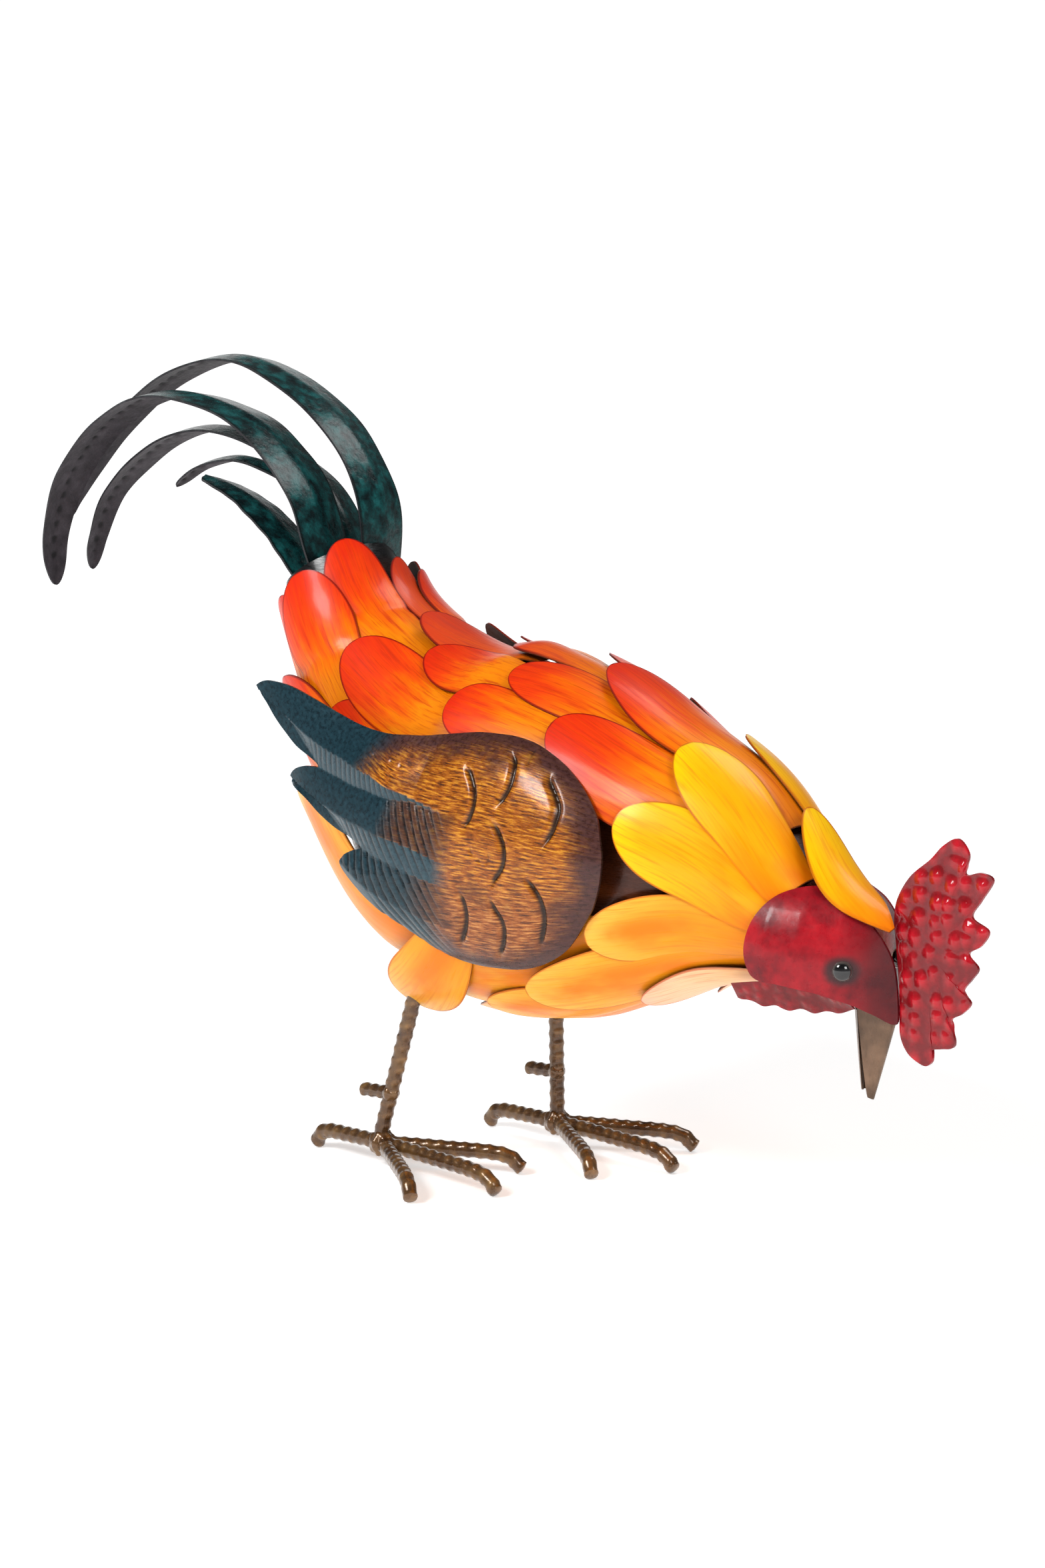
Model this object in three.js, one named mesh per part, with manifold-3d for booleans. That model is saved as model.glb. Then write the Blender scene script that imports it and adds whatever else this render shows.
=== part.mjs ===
// A rooster sculpture of cut, stamped and painted sheet metal, bent down to peck.
// Millimetres, Z up, the beak towards +X and the bird's left side towards +Y.
// The origin is on the ground, under the middle of the whole sculpture.
import * as THREE from 'three';
import { mergeVertices } from 'three/addons/utils/BufferGeometryUtils.js';
import Module from 'manifold-3d';

const manifold = await Module();
manifold.setup();

// Driving dimensions
const GROUND_SHIFT = 6;          // the feet stand this far ahead of the middle of the length
const SHEET = 1.0;               // feather plates
const PLATE = 1.2;               // wings, cheeks and tail plumes
const GAP = 0.3;                 // clearance between touching pieces
const BAR_RADIUS = 4;            // reinforcing bar of legs and toes, over its ribs
const FEATHER_SEAT = 2.0;        // outer face of a feather's root over the body shell
const FEATHER_RISE = 0.1;        // how fast a feather leaves the body towards its tip
const FEATHER_DROOP = 0.7;       // how much its long edges lie lower than its middle
const SOCKET_DEPTH = 45;         // open tail socket that holds the plumes
const SOCKET_TAPER = 0.1;
const SOCKET_WALL = 2;
const CORE_END = 372;            // the body shell ends here, inside the head
const TILT_SPAN = 40;            // sections stand square to the spine, smoothed over this reach

// Body stations from the tail socket to the head: x, z, half height, half width
const STATIONS = [
  [-96, 290, 28, 30],
  [-76, 256, 33, 36],
  [-34, 212, 56, 50],
  [21, 176, 82, 67],
  [92, 170, 78, 63],
  [147, 168, 58, 49],
  [187, 165, 42, 35],
  [232, 148, 21, 22],
  [264, 136, 17, 11],
];

function metal(color, roughness, metalness) {
  return () => new THREE.MeshStandardMaterial({ color, roughness, metalness });
}

const paint = {
  core: metal(0x3a1c0e, 0.35, 0.5),
  flame: metal(0xf0641c, 0.35, 0.3),
  hackle: metal(0xf7a81c, 0.35, 0.3),
  wing: metal(0x8a5a2c, 0.3, 0.5),
  plume: metal(0x123a38, 0.3, 0.5),
  head: metal(0x8e1826, 0.35, 0.3),
  comb: metal(0xb01e30, 0.2, 0.3),
  eye: metal(0x0b0b0d, 0.08, 0.0),
  beak: metal(0x7a5a3a, 0.35, 0.5),
  bar: metal(0x6a4a26, 0.3, 0.6),
};

const sculpture = new THREE.Group();
const bird = new THREE.Group();
bird.position.x = GROUND_SHIFT;
sculpture.add(bird);

function addPiece(name, geometry, material) {
  const mesh = new THREE.Mesh(geometry, material());
  mesh.name = name;
  bird.add(mesh);
}

// Closed meshes

// Merges shared corners, drops flat triangles and turns the faces outwards.
function closed(positions) {
  const loose = new THREE.BufferGeometry();
  loose.setAttribute('position', new THREE.Float32BufferAttribute(positions, 3));
  const merged = mergeVertices(loose, 1e-3);
  const source = merged.index.array;
  const kept = [];
  for (let i = 0; i < source.length; i += 3) {
    const [a, b, c] = [source[i], source[i + 1], source[i + 2]];
    if (a !== b && b !== c && c !== a) kept.push(a, b, c);
  }
  const at = merged.getAttribute('position');
  const [p, q, r] = [new THREE.Vector3(), new THREE.Vector3(), new THREE.Vector3()];
  let volume = 0;
  for (let i = 0; i < kept.length; i += 3) {
    p.fromBufferAttribute(at, kept[i]);
    q.fromBufferAttribute(at, kept[i + 1]);
    r.fromBufferAttribute(at, kept[i + 2]);
    volume += p.dot(q.cross(r));
  }
  if (volume < 0) kept.reverse();
  merged.setIndex(kept);
  return merged;
}

function pushQuad(out, a, b, c, d) {
  for (const v of [a, b, c, a, c, d]) out.push(v.x, v.y, v.z);
}

// A thin wall between two surfaces over the same grid of rows and columns.
// Where the columns wrap round, the first and the last are the same.
function wall(rows, columns, outer, inner, wraps = false) {
  const out = [];
  const grid = (face) => rows.map((u) => columns.map((v) => face(u, v)));
  const [top, under] = [grid(outer), grid(inner)];
  const [lastRow, lastColumn] = [rows.length - 1, columns.length - 1];
  for (let i = 0; i < lastRow; i++) {
    for (let j = 0; j < lastColumn; j++) {
      pushQuad(out, top[i][j], top[i + 1][j], top[i + 1][j + 1], top[i][j + 1]);
      pushQuad(out, under[i][j + 1], under[i + 1][j + 1], under[i + 1][j], under[i][j]);
    }
  }
  for (let i = 0; i < lastRow && !wraps; i++) {
    pushQuad(out, top[i + 1][0], top[i][0], under[i][0], under[i + 1][0]);
    pushQuad(out, top[i][lastColumn], top[i + 1][lastColumn], under[i + 1][lastColumn], under[i][lastColumn]);
  }
  for (let j = 0; j < lastColumn; j++) {
    if (!wraps) pushQuad(out, top[0][j], top[0][j + 1], under[0][j + 1], under[0][j]);
    pushQuad(out, top[lastRow][j + 1], top[lastRow][j], under[lastRow][j], under[lastRow][j + 1]);
  }
  return closed(out);
}

// A solid through a row of closed rings, ending in a point or a flat fan at each end.
function loft(rings) {
  const out = [];
  const middle = (ring) => ring.reduce((sum, v) => sum.add(v), new THREE.Vector3()).divideScalar(ring.length);
  const ends = [rings[0], rings[rings.length - 1]].map(middle);
  const count = rings[0].length;
  for (let j = 0; j < count; j++) {
    const next = (j + 1) % count;
    for (let i = 0; i + 1 < rings.length; i++) {
      pushQuad(out, rings[i][j], rings[i + 1][j], rings[i + 1][next], rings[i][next]);
    }
    const [first, last] = [rings[0], rings[rings.length - 1]];
    for (const v of [ends[0], first[j], first[next], last[j], ends[1], last[next]]) out.push(v.x, v.y, v.z);
  }
  return closed(out);
}

function toSolid(geometry) {
  return new manifold.Manifold(new manifold.Mesh({
    numProp: 3,
    vertProperties: new Float32Array(geometry.getAttribute('position').array),
    triVerts: new Uint32Array(geometry.index.array),
  }));
}

function toGeometry(solid) {
  const mesh = solid.getMesh();
  const geometry = new THREE.BufferGeometry();
  geometry.setAttribute('position', new THREE.BufferAttribute(mesh.vertProperties, 3));
  geometry.setIndex(new THREE.BufferAttribute(mesh.triVerts, 1));
  return geometry;
}

const joined = (pieces) => toGeometry(pieces.map(toSolid).reduce((sum, piece) => sum.add(piece)));

function cut(piece, tools) {
  return toGeometry(tools.map(toSolid).reduce((rest, tool) => rest.subtract(tool), toSolid(piece)));
}

// The other side of the bird: the same mesh with y turned round.
function mirrored(geometry) {
  const at = geometry.getAttribute('position');
  const out = [];
  for (const i of geometry.index.array) out.push(at.getX(i), -at.getY(i), at.getZ(i));
  return closed(out);
}

function steps(count, from = 0, to = 1) {
  return Array.from({ length: count + 1 }, (_, i) => from + (to - from) * i / count);
}

// The body's skin

// Smooth rows through the stations, with the length run along the spine.
const SPINE = (() => {
  const rows = [];
  const last = STATIONS.length - 1;
  const before = STATIONS[0].map((v, k) => 2 * v - STATIONS[1][k]);
  const after = STATIONS[last].map((v, k) => 2 * v - STATIONS[last - 1][k]);
  const all = [before, ...STATIONS, after];
  const parts = 40;
  for (let i = 0; i < last; i++) {
    for (let n = 0; n < parts || (i === last - 1 && n === parts); n++) {
      const t = n / parts;
      rows.push([0, 1, 2, 3].map((k) => {
        const [a, b, c, d] = [all[i][k], all[i + 1][k], all[i + 2][k], all[i + 3][k]];
        const [square, cube] = [2 * a - 5 * b + 4 * c - d, 3 * b - a - 3 * c + d];
        return 0.5 * (2 * b + (c - a) * t + square * t ** 2 + cube * t ** 3);
      }));
    }
  }
  let run = 0;
  return rows.map((row, i) => {
    if (i > 0) run += Math.hypot(row[0] - rows[i - 1][0], row[1] - rows[i - 1][1]);
    return [run, ...row];
  });
})();

function spineAt(s) {
  let i = 1;
  while (i < SPINE.length - 1 && SPINE[i][0] < s) i++;
  const [a, b] = [SPINE[i - 1], SPINE[i]];
  const t = (s - a[0]) / (b[0] - a[0]);
  return a.map((v, k) => v + (b[k] - v) * t);
}

// A point on the skin, or `height` above it. The clock angle is 0 on the back,
// 90 on the bird's right flank and 180 under the belly.
function skin(s, clock, height = 0) {
  const [, x, z, halfHeight, halfWidth] = spineAt(s);
  const [back, ahead] = [spineAt(s - TILT_SPAN), spineAt(s + TILT_SPAN)];
  const [dx, dz] = [ahead[1] - back[1], ahead[2] - back[2]];
  const run = Math.hypot(dx, dz);
  const angle = THREE.MathUtils.degToRad(clock);
  const up = (halfHeight + height) * Math.cos(angle);
  return new THREE.Vector3(x - up * dz / run, -(halfWidth + height) * Math.sin(angle), z + up * dx / run);
}

// Millimetres along the skin for one degree of the clock
function perDegree(s, clock) {
  const [, , , halfHeight, halfWidth] = spineAt(s);
  const angle = THREE.MathUtils.degToRad(clock);
  return THREE.MathUtils.degToRad(Math.hypot(halfHeight * Math.sin(angle), halfWidth * Math.cos(angle)));
}

// Body shell: a round loft with an open socket at the tail
const SPOKES = 18;

function skinRing(s, height) {
  return Array.from({ length: SPOKES }, (_, j) => skin(s, 360 * j / SPOKES, height));
}

function bodyCore() {
  const socket = steps(2, SOCKET_DEPTH, 0).map((s) => skinRing(s, -SOCKET_WALL - SOCKET_TAPER * s));
  const shell = steps(15, 0, CORE_END).map((s) => skinRing(s, 0));
  return loft([...socket, ...shell]);
}

// Feathers

// Half the width of a feather at t, from its root 0, `neck` times as wide, to its tip 1
function featherHalfWidth(width, neck, t) {
  const widest = 0.6;
  if (t === 1) return 0;
  if (t < widest) return width / 2 * (1 - (1 - neck) * (1 - t / widest) ** 1.6);
  return width / 2 * Math.sqrt(1 - ((t - widest) / (1 - widest)) ** 2);
}

const FEATHER_ROWS = [0, 0.3, 0.6, 0.8, 0.93, 1];
const FEATHER_COLUMNS = [-1, -0.5, 0, 0.5, 1];

// An oval plate that follows the skin. Root and tip are [s, clock] on the skin, and
// feathers rooted nearer the head lie over those rooted nearer the tail.
function feather({ root, tip, width, lift = 0, rise = FEATHER_RISE, hang = 0, neck = 0.64 }) {
  const face = (depth) => (t, v) => {
    const s = root[0] + (tip[0] - root[0]) * t;
    const clock = root[1] + (tip[1] - root[1]) * t;
    const degree = perDegree(s, clock);
    const [along, across] = [tip[0] - root[0], (tip[1] - root[1]) * degree];
    const length = Math.hypot(along, across);
    const side = featherHalfWidth(width, neck, t) * v;
    const [sideS, sideClock] = [-side * across / length, side * along / length / degree];
    const slope = rise * (root[0] - s - sideS) + hang * t * t;
    const droop = FEATHER_DROOP * (2 * side / width) ** 2;
    return skin(s + sideS, clock + sideClock, FEATHER_SEAT + lift + slope - droop - depth);
  };
  return wall(FEATHER_ROWS, FEATHER_COLUMNS, face(0), face(SHEET));
}

// On the flank the photograph shows, each with its like on the other flank, which sits
// further towards the head by `slip` and may have a lift of its own
const PAIRED_FEATHERS = [
  { name: 'tail_cover_side', root: [112, 77], tip: [6, 72], width: 35, lift: 3, rise: 0.06, likeLift: 0.4 },
  { name: 'tail_cover_upper', root: [114, 28], tip: [-2, 34], width: 31, lift: 0.9, rise: 0.06, slip: 22 },
  { name: 'tail_cover_lower', root: [84, 114], tip: [8, 108], width: 30, rise: 0.06 },
  { name: 'rump_low', root: [130, 82], tip: [46, 127], width: 40, lift: 2.5 },
  { name: 'rump_side', root: [192, 48], tip: [63, 53], width: 36, lift: 1.2 },
  { name: 'rump_upper', root: [222, 26], tip: [99, 28], width: 30, lift: 1.8 },
  { name: 'rump_under_wing', root: [170, 68], tip: [86, 82], width: 35, lift: 1.2 },
  { name: 'back_side', root: [276, 46], tip: [171, 44], width: 31, lift: 1 },
  { name: 'back_upper', root: [304, 17], tip: [205, 27], width: 30 },
  { name: 'shoulder', root: [350, 52], tip: [249, 42], width: 40 },
  { name: 'hackle_upper', root: [372, 46], tip: [305, 22], width: 31, lift: 2, rise: 0.13 },
  { name: 'hackle_side', root: [369, 79], tip: [296, 65], width: 34, lift: 0.8, rise: 0.12 },
  { name: 'hackle_low', root: [361, 112], tip: [283, 114], width: 31, rise: 0.11 },
  { name: 'throat', root: [344, 146], tip: [243, 134], width: 35 },
  { name: 'thigh_rear', root: [196, 122], tip: [94, 124], width: 46, lift: 1, rise: 0.16 },
  { name: 'thigh', root: [215, 108], tip: [172, 152], width: 31, lift: 6, hang: 9 },
];
const RIDGE_FEATHERS = [
  { name: 'tail_cover_ridge', root: [106, -6], tip: [13, -9], width: 20, rise: 0.06 },
  { name: 'rump_ridge', root: [188, 0], tip: [65, 12], width: 26, lift: 1 },
  { name: 'back_ridge', root: [242, -2], tip: [139, 4], width: 22, lift: 1.4 },
  { name: 'neck_ridge_lower', root: [352, 2], tip: [248, 5], width: 37, lift: 2 },
  { name: 'neck_ridge_upper', root: [420, 25], tip: [351, 1], width: 20, lift: 8.5, neck: 0.1 },
];
// Under the body: a wide plate on each side and one in the middle, welded edge to edge,
// with two ovals welded over them
const BELLY_PLATES = [
  { root: [305, 130], tip: [176, 134], width: 58, rise: 0.05 },
  { root: [305, 180], tip: [184, 180], width: 84, rise: 0.05 },
  { root: [310, 160], tip: [208, 147], width: 33, rise: 0.08 },
];
// Under the chin: two ovals welded to each other at the root
const CHIN_PLATE = { root: [392, 172], tip: [295, 152], width: 24, lift: 1 };

// Tail plumes: creased strips that rise out of the socket and fall over behind
const CREASE = 2.5;
const PLUME_ROOT = 0.14;         // part of the length where a plume narrows into the socket
const SOCKET_SQUEEZE = 0.45;     // part of its width it loses there
const TIP_TAPER = 0.6;           // part of its width it loses on the way to the tip
const TIP_ROUND = 0.045;         // part of the length over which the tip is rounded
const TIP_FLAT = 0.25;           // part of its width left at the very end
const PLUMES = [
  { name: 'plume_tallest', y: 12, width: 28,
    path: [[-86, 268], [-83.5, 296], [-86, 331], [-108, 364], [-151, 388], [-195, 396], [-249, 382],
      [-299, 350], [-333, 316], [-340, 302]] },
  { name: 'plume_near', y: -13, width: 31,
    path: [[-88, 268], [-88, 294], [-99, 326], [-122, 350], [-157, 369], [-216, 377], [-264, 362],
      [-302, 331], [-320, 296], [-321, 266]] },
  { name: 'plume_middle', y: 11, width: 24,
    path: [[-92, 266], [-93, 294], [-110, 324], [-137, 342], [-174, 355], [-214, 358], [-255, 347],
      [-296, 320], [-313, 293], [-319, 274]] },
  { name: 'plume_short', y: 12, width: 16,
    path: [[-99, 266], [-106, 300], [-126, 326], [-157, 338], [-188, 343], [-220, 337], [-243, 325]] },
  { name: 'plume_low', y: -13, width: 25,
    path: [[-93, 262], [-98, 284], [-110, 298], [-129, 313], [-149, 324], [-167, 330], [-187, 334]] },
];

// A creased strip along a smooth path: it narrows into the socket and to a rounded tip.
function plume({ y, width, path }) {
  const points = path.map(([x, z]) => new THREE.Vector3(x, 0, z));
  const curve = new THREE.CatmullRomCurve3(points, false, 'centripetal');
  const face = (depth) => (t, v) => {
    const at = curve.getPointAt(t);
    const along = curve.getTangentAt(t);
    const outward = new THREE.Vector3(along.z, 0, -along.x);
    const socket = Math.max(0, 1 - t / PLUME_ROOT) ** 2;
    const taper = (1 - TIP_TAPER * t ** 4) * (1 - SOCKET_SQUEEZE * socket);
    const end = Math.max(0, (t - 1) / TIP_ROUND + 1);
    const round = Math.sqrt(1 - (1 - TIP_FLAT ** 2) * end ** 2);
    at.y = y * (1 - socket / 2) + width / 2 * taper * round * v;
    return at.addScaledVector(outward, -CREASE * Math.abs(v) * taper - depth);
  };
  const rows = [...steps(13, 0, 1 - TIP_ROUND), 1 - 0.4 * TIP_ROUND, 1];
  return wall(rows, [-1, 0, 1], face(0), face(PLATE));
}

// Plates with a free outline: rings shrink to the middle of the outline
const PLATE_RINGS = [0, 0.6, 1];

function plateFrom(outline, middle, rings, outer, inner) {
  const columns = [...outline.keys(), 0];
  const place = (face) => (u, k) => {
    const [x, z] = outline[k];
    return face(middle[0] + (x - middle[0]) * u, middle[1] + (z - middle[1]) * u, u);
  };
  return wall(rings, columns, place(outer), place(inner), true);
}

// Wing: a stamped plate that follows the flank, round in front, with three fingers behind.
// Its outline is [s, clock] on the skin.
const WING_OUTLINE = [
  [56, 92], [66, 84.6], [81, 78], [104, 71.5], [129, 66], [160, 59.6], [189, 55], [215, 52], [237, 50],
  [255, 51], [271, 55], [284, 62], [292, 73], [295, 87], [291, 101], [280, 113], [263, 122], [242, 124.6],
  [220, 124], [202, 121], [187, 115.5], [168, 109.6], [152, 105.3], [151, 102.5], [159.7, 96.2], [140, 98],
  [118, 102], [104, 104], [101.4, 101], [105.5, 95.4], [113, 90.5], [95, 93.8], [74, 96.5], [58, 98.4],
  [55, 96],
];
const WING_MIDDLE = [222, 70];
const WING_STAND_OFF = 14;
const WING_DOME = 5;
const WING_FLARE = 0.16;         // how fast the fingers leave the body, behind FLARE_START
const FLARE_START = 190;

function wingFace(depth) {
  return (s, clock, u) => {
    const flare = WING_FLARE * Math.max(0, FLARE_START - s);
    return skin(s, clock, WING_STAND_OFF + flare + WING_DOME * (1 - u * u) - depth);
  };
}

// Cheek: one of the two stamped halves of the head, open towards the neck
const CHEEK_OUTLINE = [
  [237, 172], [226, 168], [219, 158], [216, 145], [217, 135], [221, 130], [232, 129], [245, 127], [258, 123],
  [267, 118], [275, 113], [275, 128], [273, 143], [267, 156], [258, 165], [248, 170],
];
const CHEEK_MIDDLE = [247, 147];
const CHEEK_WIDTHS = [[200, 38], [215, 38], [226, 37], [240, 32], [256, 22], [267, 12], [275, 2.2]];

function along(table, x) {
  let i = 1;
  while (i < table.length - 1 && table[i][0] < x) i++;
  const [[x0, y0], [x1, y1]] = [table[i - 1], table[i]];
  return y0 + (y1 - y0) * THREE.MathUtils.clamp((x - x0) / (x1 - x0), 0, 1);
}

// The head's middle line in side view, as [x, z] at its two ends, and half its height
const HEAD_LINE = [[205, 146], [285, 128]];
const HEAD_HALF_HEIGHT = 38;

function cheekDepth(x, z) {
  const rounding = 1 - ((z - along(HEAD_LINE, x)) / HEAD_HALF_HEIGHT) ** 2;
  return along(CHEEK_WIDTHS, x) * Math.sqrt(Math.max(0.05, rounding));
}

// Comb: a flat, round-edged casting with seven teeth
const COMB_OUTLINE = [
  [306, 200], [298, 196], [291, 189], [280, 180], [273, 169], [271.5, 159], [273.5, 151], [276.5, 143],
  [277.5, 134], [279, 126], [278.5, 118], [277, 108], [280, 101], [286, 97.5], [291, 96.6], [294.3, 99.7],
  [293.5, 104], [299, 105.6], [305, 107], [306.5, 110.5], [304, 119], [310, 123], [314.7, 128.5],
  [310.5, 133.2], [315, 139], [318.4, 144.5], [313, 150], [319.6, 154.6], [323.5, 161.7], [314.5, 166.5],
  [319, 174], [325.4, 184.1], [318.8, 186.7], [310.5, 185], [312, 193.8],
];
const COMB_MIDDLE = [292, 148];

// Build the pieces

const core = bodyCore();

// Legs and feet of reinforcing bar
const FOOT_BEARINGS = [-31.5, 0, 31.5, 180];
const TOE_LENGTHS = [72, 82, 72, 50];
const LEGS = [
  { side: 'right', foot: [-16, -45.5], knee: [8, -42, 100] },
  { side: 'left', foot: [16, 45.5], knee: [15, 45, 100] },
];
const BAR_SIDES = 8;
const WELD_HEIGHT = 11.6;        // middle of the weld bead where the four toes meet
const WELD_RADIUS = 7;
const ANKLE_RISE = 7.5;          // the leg stands on the bead, this far over its middle
const SPUR = { height: 37.8, length: 21, drop: 1.5, radius: 3.6 };

// An eight-sided bar through a row of points
function bar(points, radius) {
  const rings = points.map((point, i) => {
    const [back, ahead] = [points[Math.max(0, i - 1)], points[Math.min(points.length - 1, i + 1)]];
    const along = ahead.clone().sub(back).normalize();
    const upright = Math.hypot(along.x, along.y) < 0.2;
    const side = upright ? new THREE.Vector3(0, 1, 0) : new THREE.Vector3(-along.y, along.x, 0).normalize();
    const up = new THREE.Vector3().crossVectors(along, side).normalize();
    return Array.from({ length: BAR_SIDES }, (_, j) => {
      const angle = 2 * Math.PI * j / BAR_SIDES;
      const outward = side.clone().multiplyScalar(Math.cos(angle)).addScaledVector(up, Math.sin(angle));
      return point.clone().addScaledVector(outward, radius);
    });
  });
  return loft(rings);
}

// Along a toe: part of its length, height of the bar's middle
const TOE_LINE = [[0, WELD_HEIGHT], [0.45, 11], [0.86, 9.5]];

// The last stretch bends down until the edge of the cut end touches the ground.
function toe([x, y], bearing, length) {
  const angle = THREE.MathUtils.degToRad(bearing);
  const [dx, dy] = [length * Math.cos(angle), length * Math.sin(angle)];
  const [bend, bendHeight] = TOE_LINE[TOE_LINE.length - 1];
  const slope = Math.atan2(bendHeight - BAR_RADIUS, (1 - bend) * length);
  const line = [...TOE_LINE, [1, BAR_RADIUS * Math.cos(slope)]];
  return bar(line.map(([t, height]) => new THREE.Vector3(x + dx * t, y + dy * t, height)), BAR_RADIUS);
}

// A closed mesh of a sphere or of any other stock shape
function plain(geometry) {
  geometry.deleteAttribute('normal');
  geometry.deleteAttribute('uv');
  return closed([...geometry.toNonIndexed().getAttribute('position').array]);
}

const legBars = [];
for (const { side, foot, knee } of LEGS) {
  const ankle = new THREE.Vector3(foot[0], foot[1], WELD_HEIGHT + ANKLE_RISE);
  const top = new THREE.Vector3(...knee);
  const spurRoot = ankle.clone().lerp(top, (SPUR.height - ankle.z) / (top.z - ankle.z));
  const spurTip = spurRoot.clone().add(new THREE.Vector3(-SPUR.length, 0, -SPUR.drop));
  legBars.push(bar([ankle, top], BAR_RADIUS + 2 * GAP));
  const bars = [bar([ankle, top], BAR_RADIUS), bar([spurRoot, spurTip], SPUR.radius)];
  addPiece(`${side}_leg`, joined(bars), paint.bar);
  const toes = FOOT_BEARINGS.map((bearing, i) => toe(foot, bearing, TOE_LENGTHS[i]));
  const bead = plain(new THREE.SphereGeometry(WELD_RADIUS, 8, 6).translate(foot[0], foot[1], WELD_HEIGHT));
  addPiece(`${side}_foot`, joined([...toes, bead]), paint.bar);
}

addPiece('body_shell', cut(core, legBars), paint.core);

const [rightBar, leftBar] = legBars;
for (const spec of PAIRED_FEATHERS) {
  const colour = /hackle|throat|thigh/.test(spec.name) ? paint.hackle : paint.flame;
  const { slip = 0, likeLift = spec.lift, root, tip } = spec;
  const like = { ...spec, lift: likeLift, root: [root[0] + slip, root[1]], tip: [tip[0] + slip, tip[1]] };
  addPiece(`feather_${spec.name}_right`, cut(feather(spec), [rightBar]), colour);
  addPiece(`feather_${spec.name}_left`, cut(mirrored(feather(like)), [leftBar]), colour);
}
for (const spec of RIDGE_FEATHERS) {
  const colour = /neck_ridge_upper|throat/.test(spec.name) ? paint.hackle : paint.flame;
  addPiece(`feather_${spec.name}`, feather(spec), colour);
}
const bothSides = (plate) => [plate, mirrored(plate)];
const bellyPlates = BELLY_PLATES.map(feather).flatMap(bothSides);
addPiece('feather_belly', cut(joined(bellyPlates), legBars), paint.hackle);
addPiece('feather_throat_middle', joined(bothSides(feather(CHIN_PLATE))), paint.hackle);
for (const spec of PLUMES) addPiece(spec.name, plume(spec), paint.plume);

const wing = plateFrom(WING_OUTLINE, WING_MIDDLE, PLATE_RINGS, wingFace(0), wingFace(PLATE));
addPiece('wing_right', wing, paint.wing);
addPiece('wing_left', mirrored(wing), paint.wing);

const cheek = plateFrom(CHEEK_OUTLINE, CHEEK_MIDDLE, PLATE_RINGS,
  (x, z) => new THREE.Vector3(x, -cheekDepth(x, z), z),
  (x, z) => new THREE.Vector3(x, -cheekDepth(x, z) + PLATE, z));

// Eye: a glossy bead set in a hole of the cheek
const EYE = { x: 258, z: 137, radius: 5.2, depth: 3.4, turn: 38, out: -0.8 };

function eyeBead(grow) {
  const bead = new THREE.SphereGeometry(1, 12, 8);
  bead.scale(EYE.radius + grow, EYE.depth + grow, EYE.radius + grow);
  bead.rotateZ(THREE.MathUtils.degToRad(EYE.turn));
  bead.translate(EYE.x, -cheekDepth(EYE.x, EYE.z) - EYE.out, EYE.z);
  return plain(bead);
}

const pierced = cut(cheek, [eyeBead(GAP)]);
addPiece('cheek_right', pierced, paint.head);
addPiece('cheek_left', mirrored(pierced), paint.head);
addPiece('eye_right', eyeBead(0), paint.eye);
addPiece('eye_left', mirrored(eyeBead(0)), paint.eye);

const COMB_EDGE = 0.7;           // half the comb's thickness at its edge
const COMB_SWELL = 1.6;          // how much thicker each face is in the middle

function combFace(side) {
  return (x, z, u) => new THREE.Vector3(x, side * (COMB_EDGE + COMB_SWELL * (1 - u ** 3)), z);
}

addPiece('comb', plateFrom(COMB_OUTLINE, COMB_MIDDLE, PLATE_RINGS, combFace(-1), combFace(1)), paint.comb);

// Beak: two folded sheets, the upper one with its fold in front
const BEAK_TIP = 2;              // half its width at the tip
const BEAK_BOW = 1.3;            // over 1, its sides bow outwards

function beakSheet(foldRoot, foldTip, edgeRoot, edgeTip, spread, depth) {
  return (t, v) => {
    const fold = new THREE.Vector3().lerpVectors(foldRoot, foldTip, t);
    const edge = new THREE.Vector3().lerpVectors(edgeRoot, edgeTip, t);
    const open = Math.abs(v);
    const at = fold.lerp(edge, open ** BEAK_BOW);
    const halfWidth = BEAK_TIP + (spread - BEAK_TIP) * (1 - t) ** 0.8;
    at.y = (halfWidth * open ** 0.7 - depth * open) * Math.sign(v);
    at.x -= depth * (1 - open) * Math.sign(foldRoot.x - edgeRoot.x);
    return at;
  };
}

const point = (x, z) => new THREE.Vector3(x, 0, z);
const BEAK_ROWS = [0, 0.35, 0.7, 1];
const BEAK_COLUMNS = [-1, -0.5, 0, 0.5, 1];

function beak(foldRoot, foldTip, edgeRoot, edgeTip, spread) {
  return wall(BEAK_ROWS, BEAK_COLUMNS,
    beakSheet(foldRoot, foldTip, edgeRoot, edgeTip, spread, 0),
    beakSheet(foldRoot, foldTip, edgeRoot, edgeTip, spread, PLATE));
}

const upperBeak = beak(point(274, 117), point(261, 76), point(258, 119), point(259, 77), 9);
const lowerBeak = beak(point(250, 118), point(254, 80), point(255.5, 117), point(256, 80), 6);
addPiece('beak_upper', upperBeak, paint.beak);
addPiece('beak_lower', lowerBeak, paint.beak);

// Wattles: scalloped flaps that hang under the cheeks, from their back end to the beak
const WATTLE = {
  back: 192, length: 66, top: 123, arch: 4, drop: 13, scallop: 0.06, out: 25, closing: 9, flare: 5,
};

function wattleFace(depth) {
  const { back, length, top, arch, drop, scallop, out, closing, flare } = WATTLE;
  return (t, v) => {
    const round = Math.sin(Math.PI * (0.12 + 0.82 * t)) ** 0.6;
    const hang = drop * round * (1 + scallop * Math.cos(9 * Math.PI * t));
    const height = top + arch * Math.sin(Math.PI * t) - hang * v;
    return new THREE.Vector3(back + length * t, closing * t + flare * v + depth - out, height);
  };
}

const wattle = wall(steps(8), [0, 0.5, 1], wattleFace(0), wattleFace(PLATE));
addPiece('wattle_right', wattle, paint.comb);
addPiece('wattle_left', mirrored(wattle), paint.comb);

export default sculpture;
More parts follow.
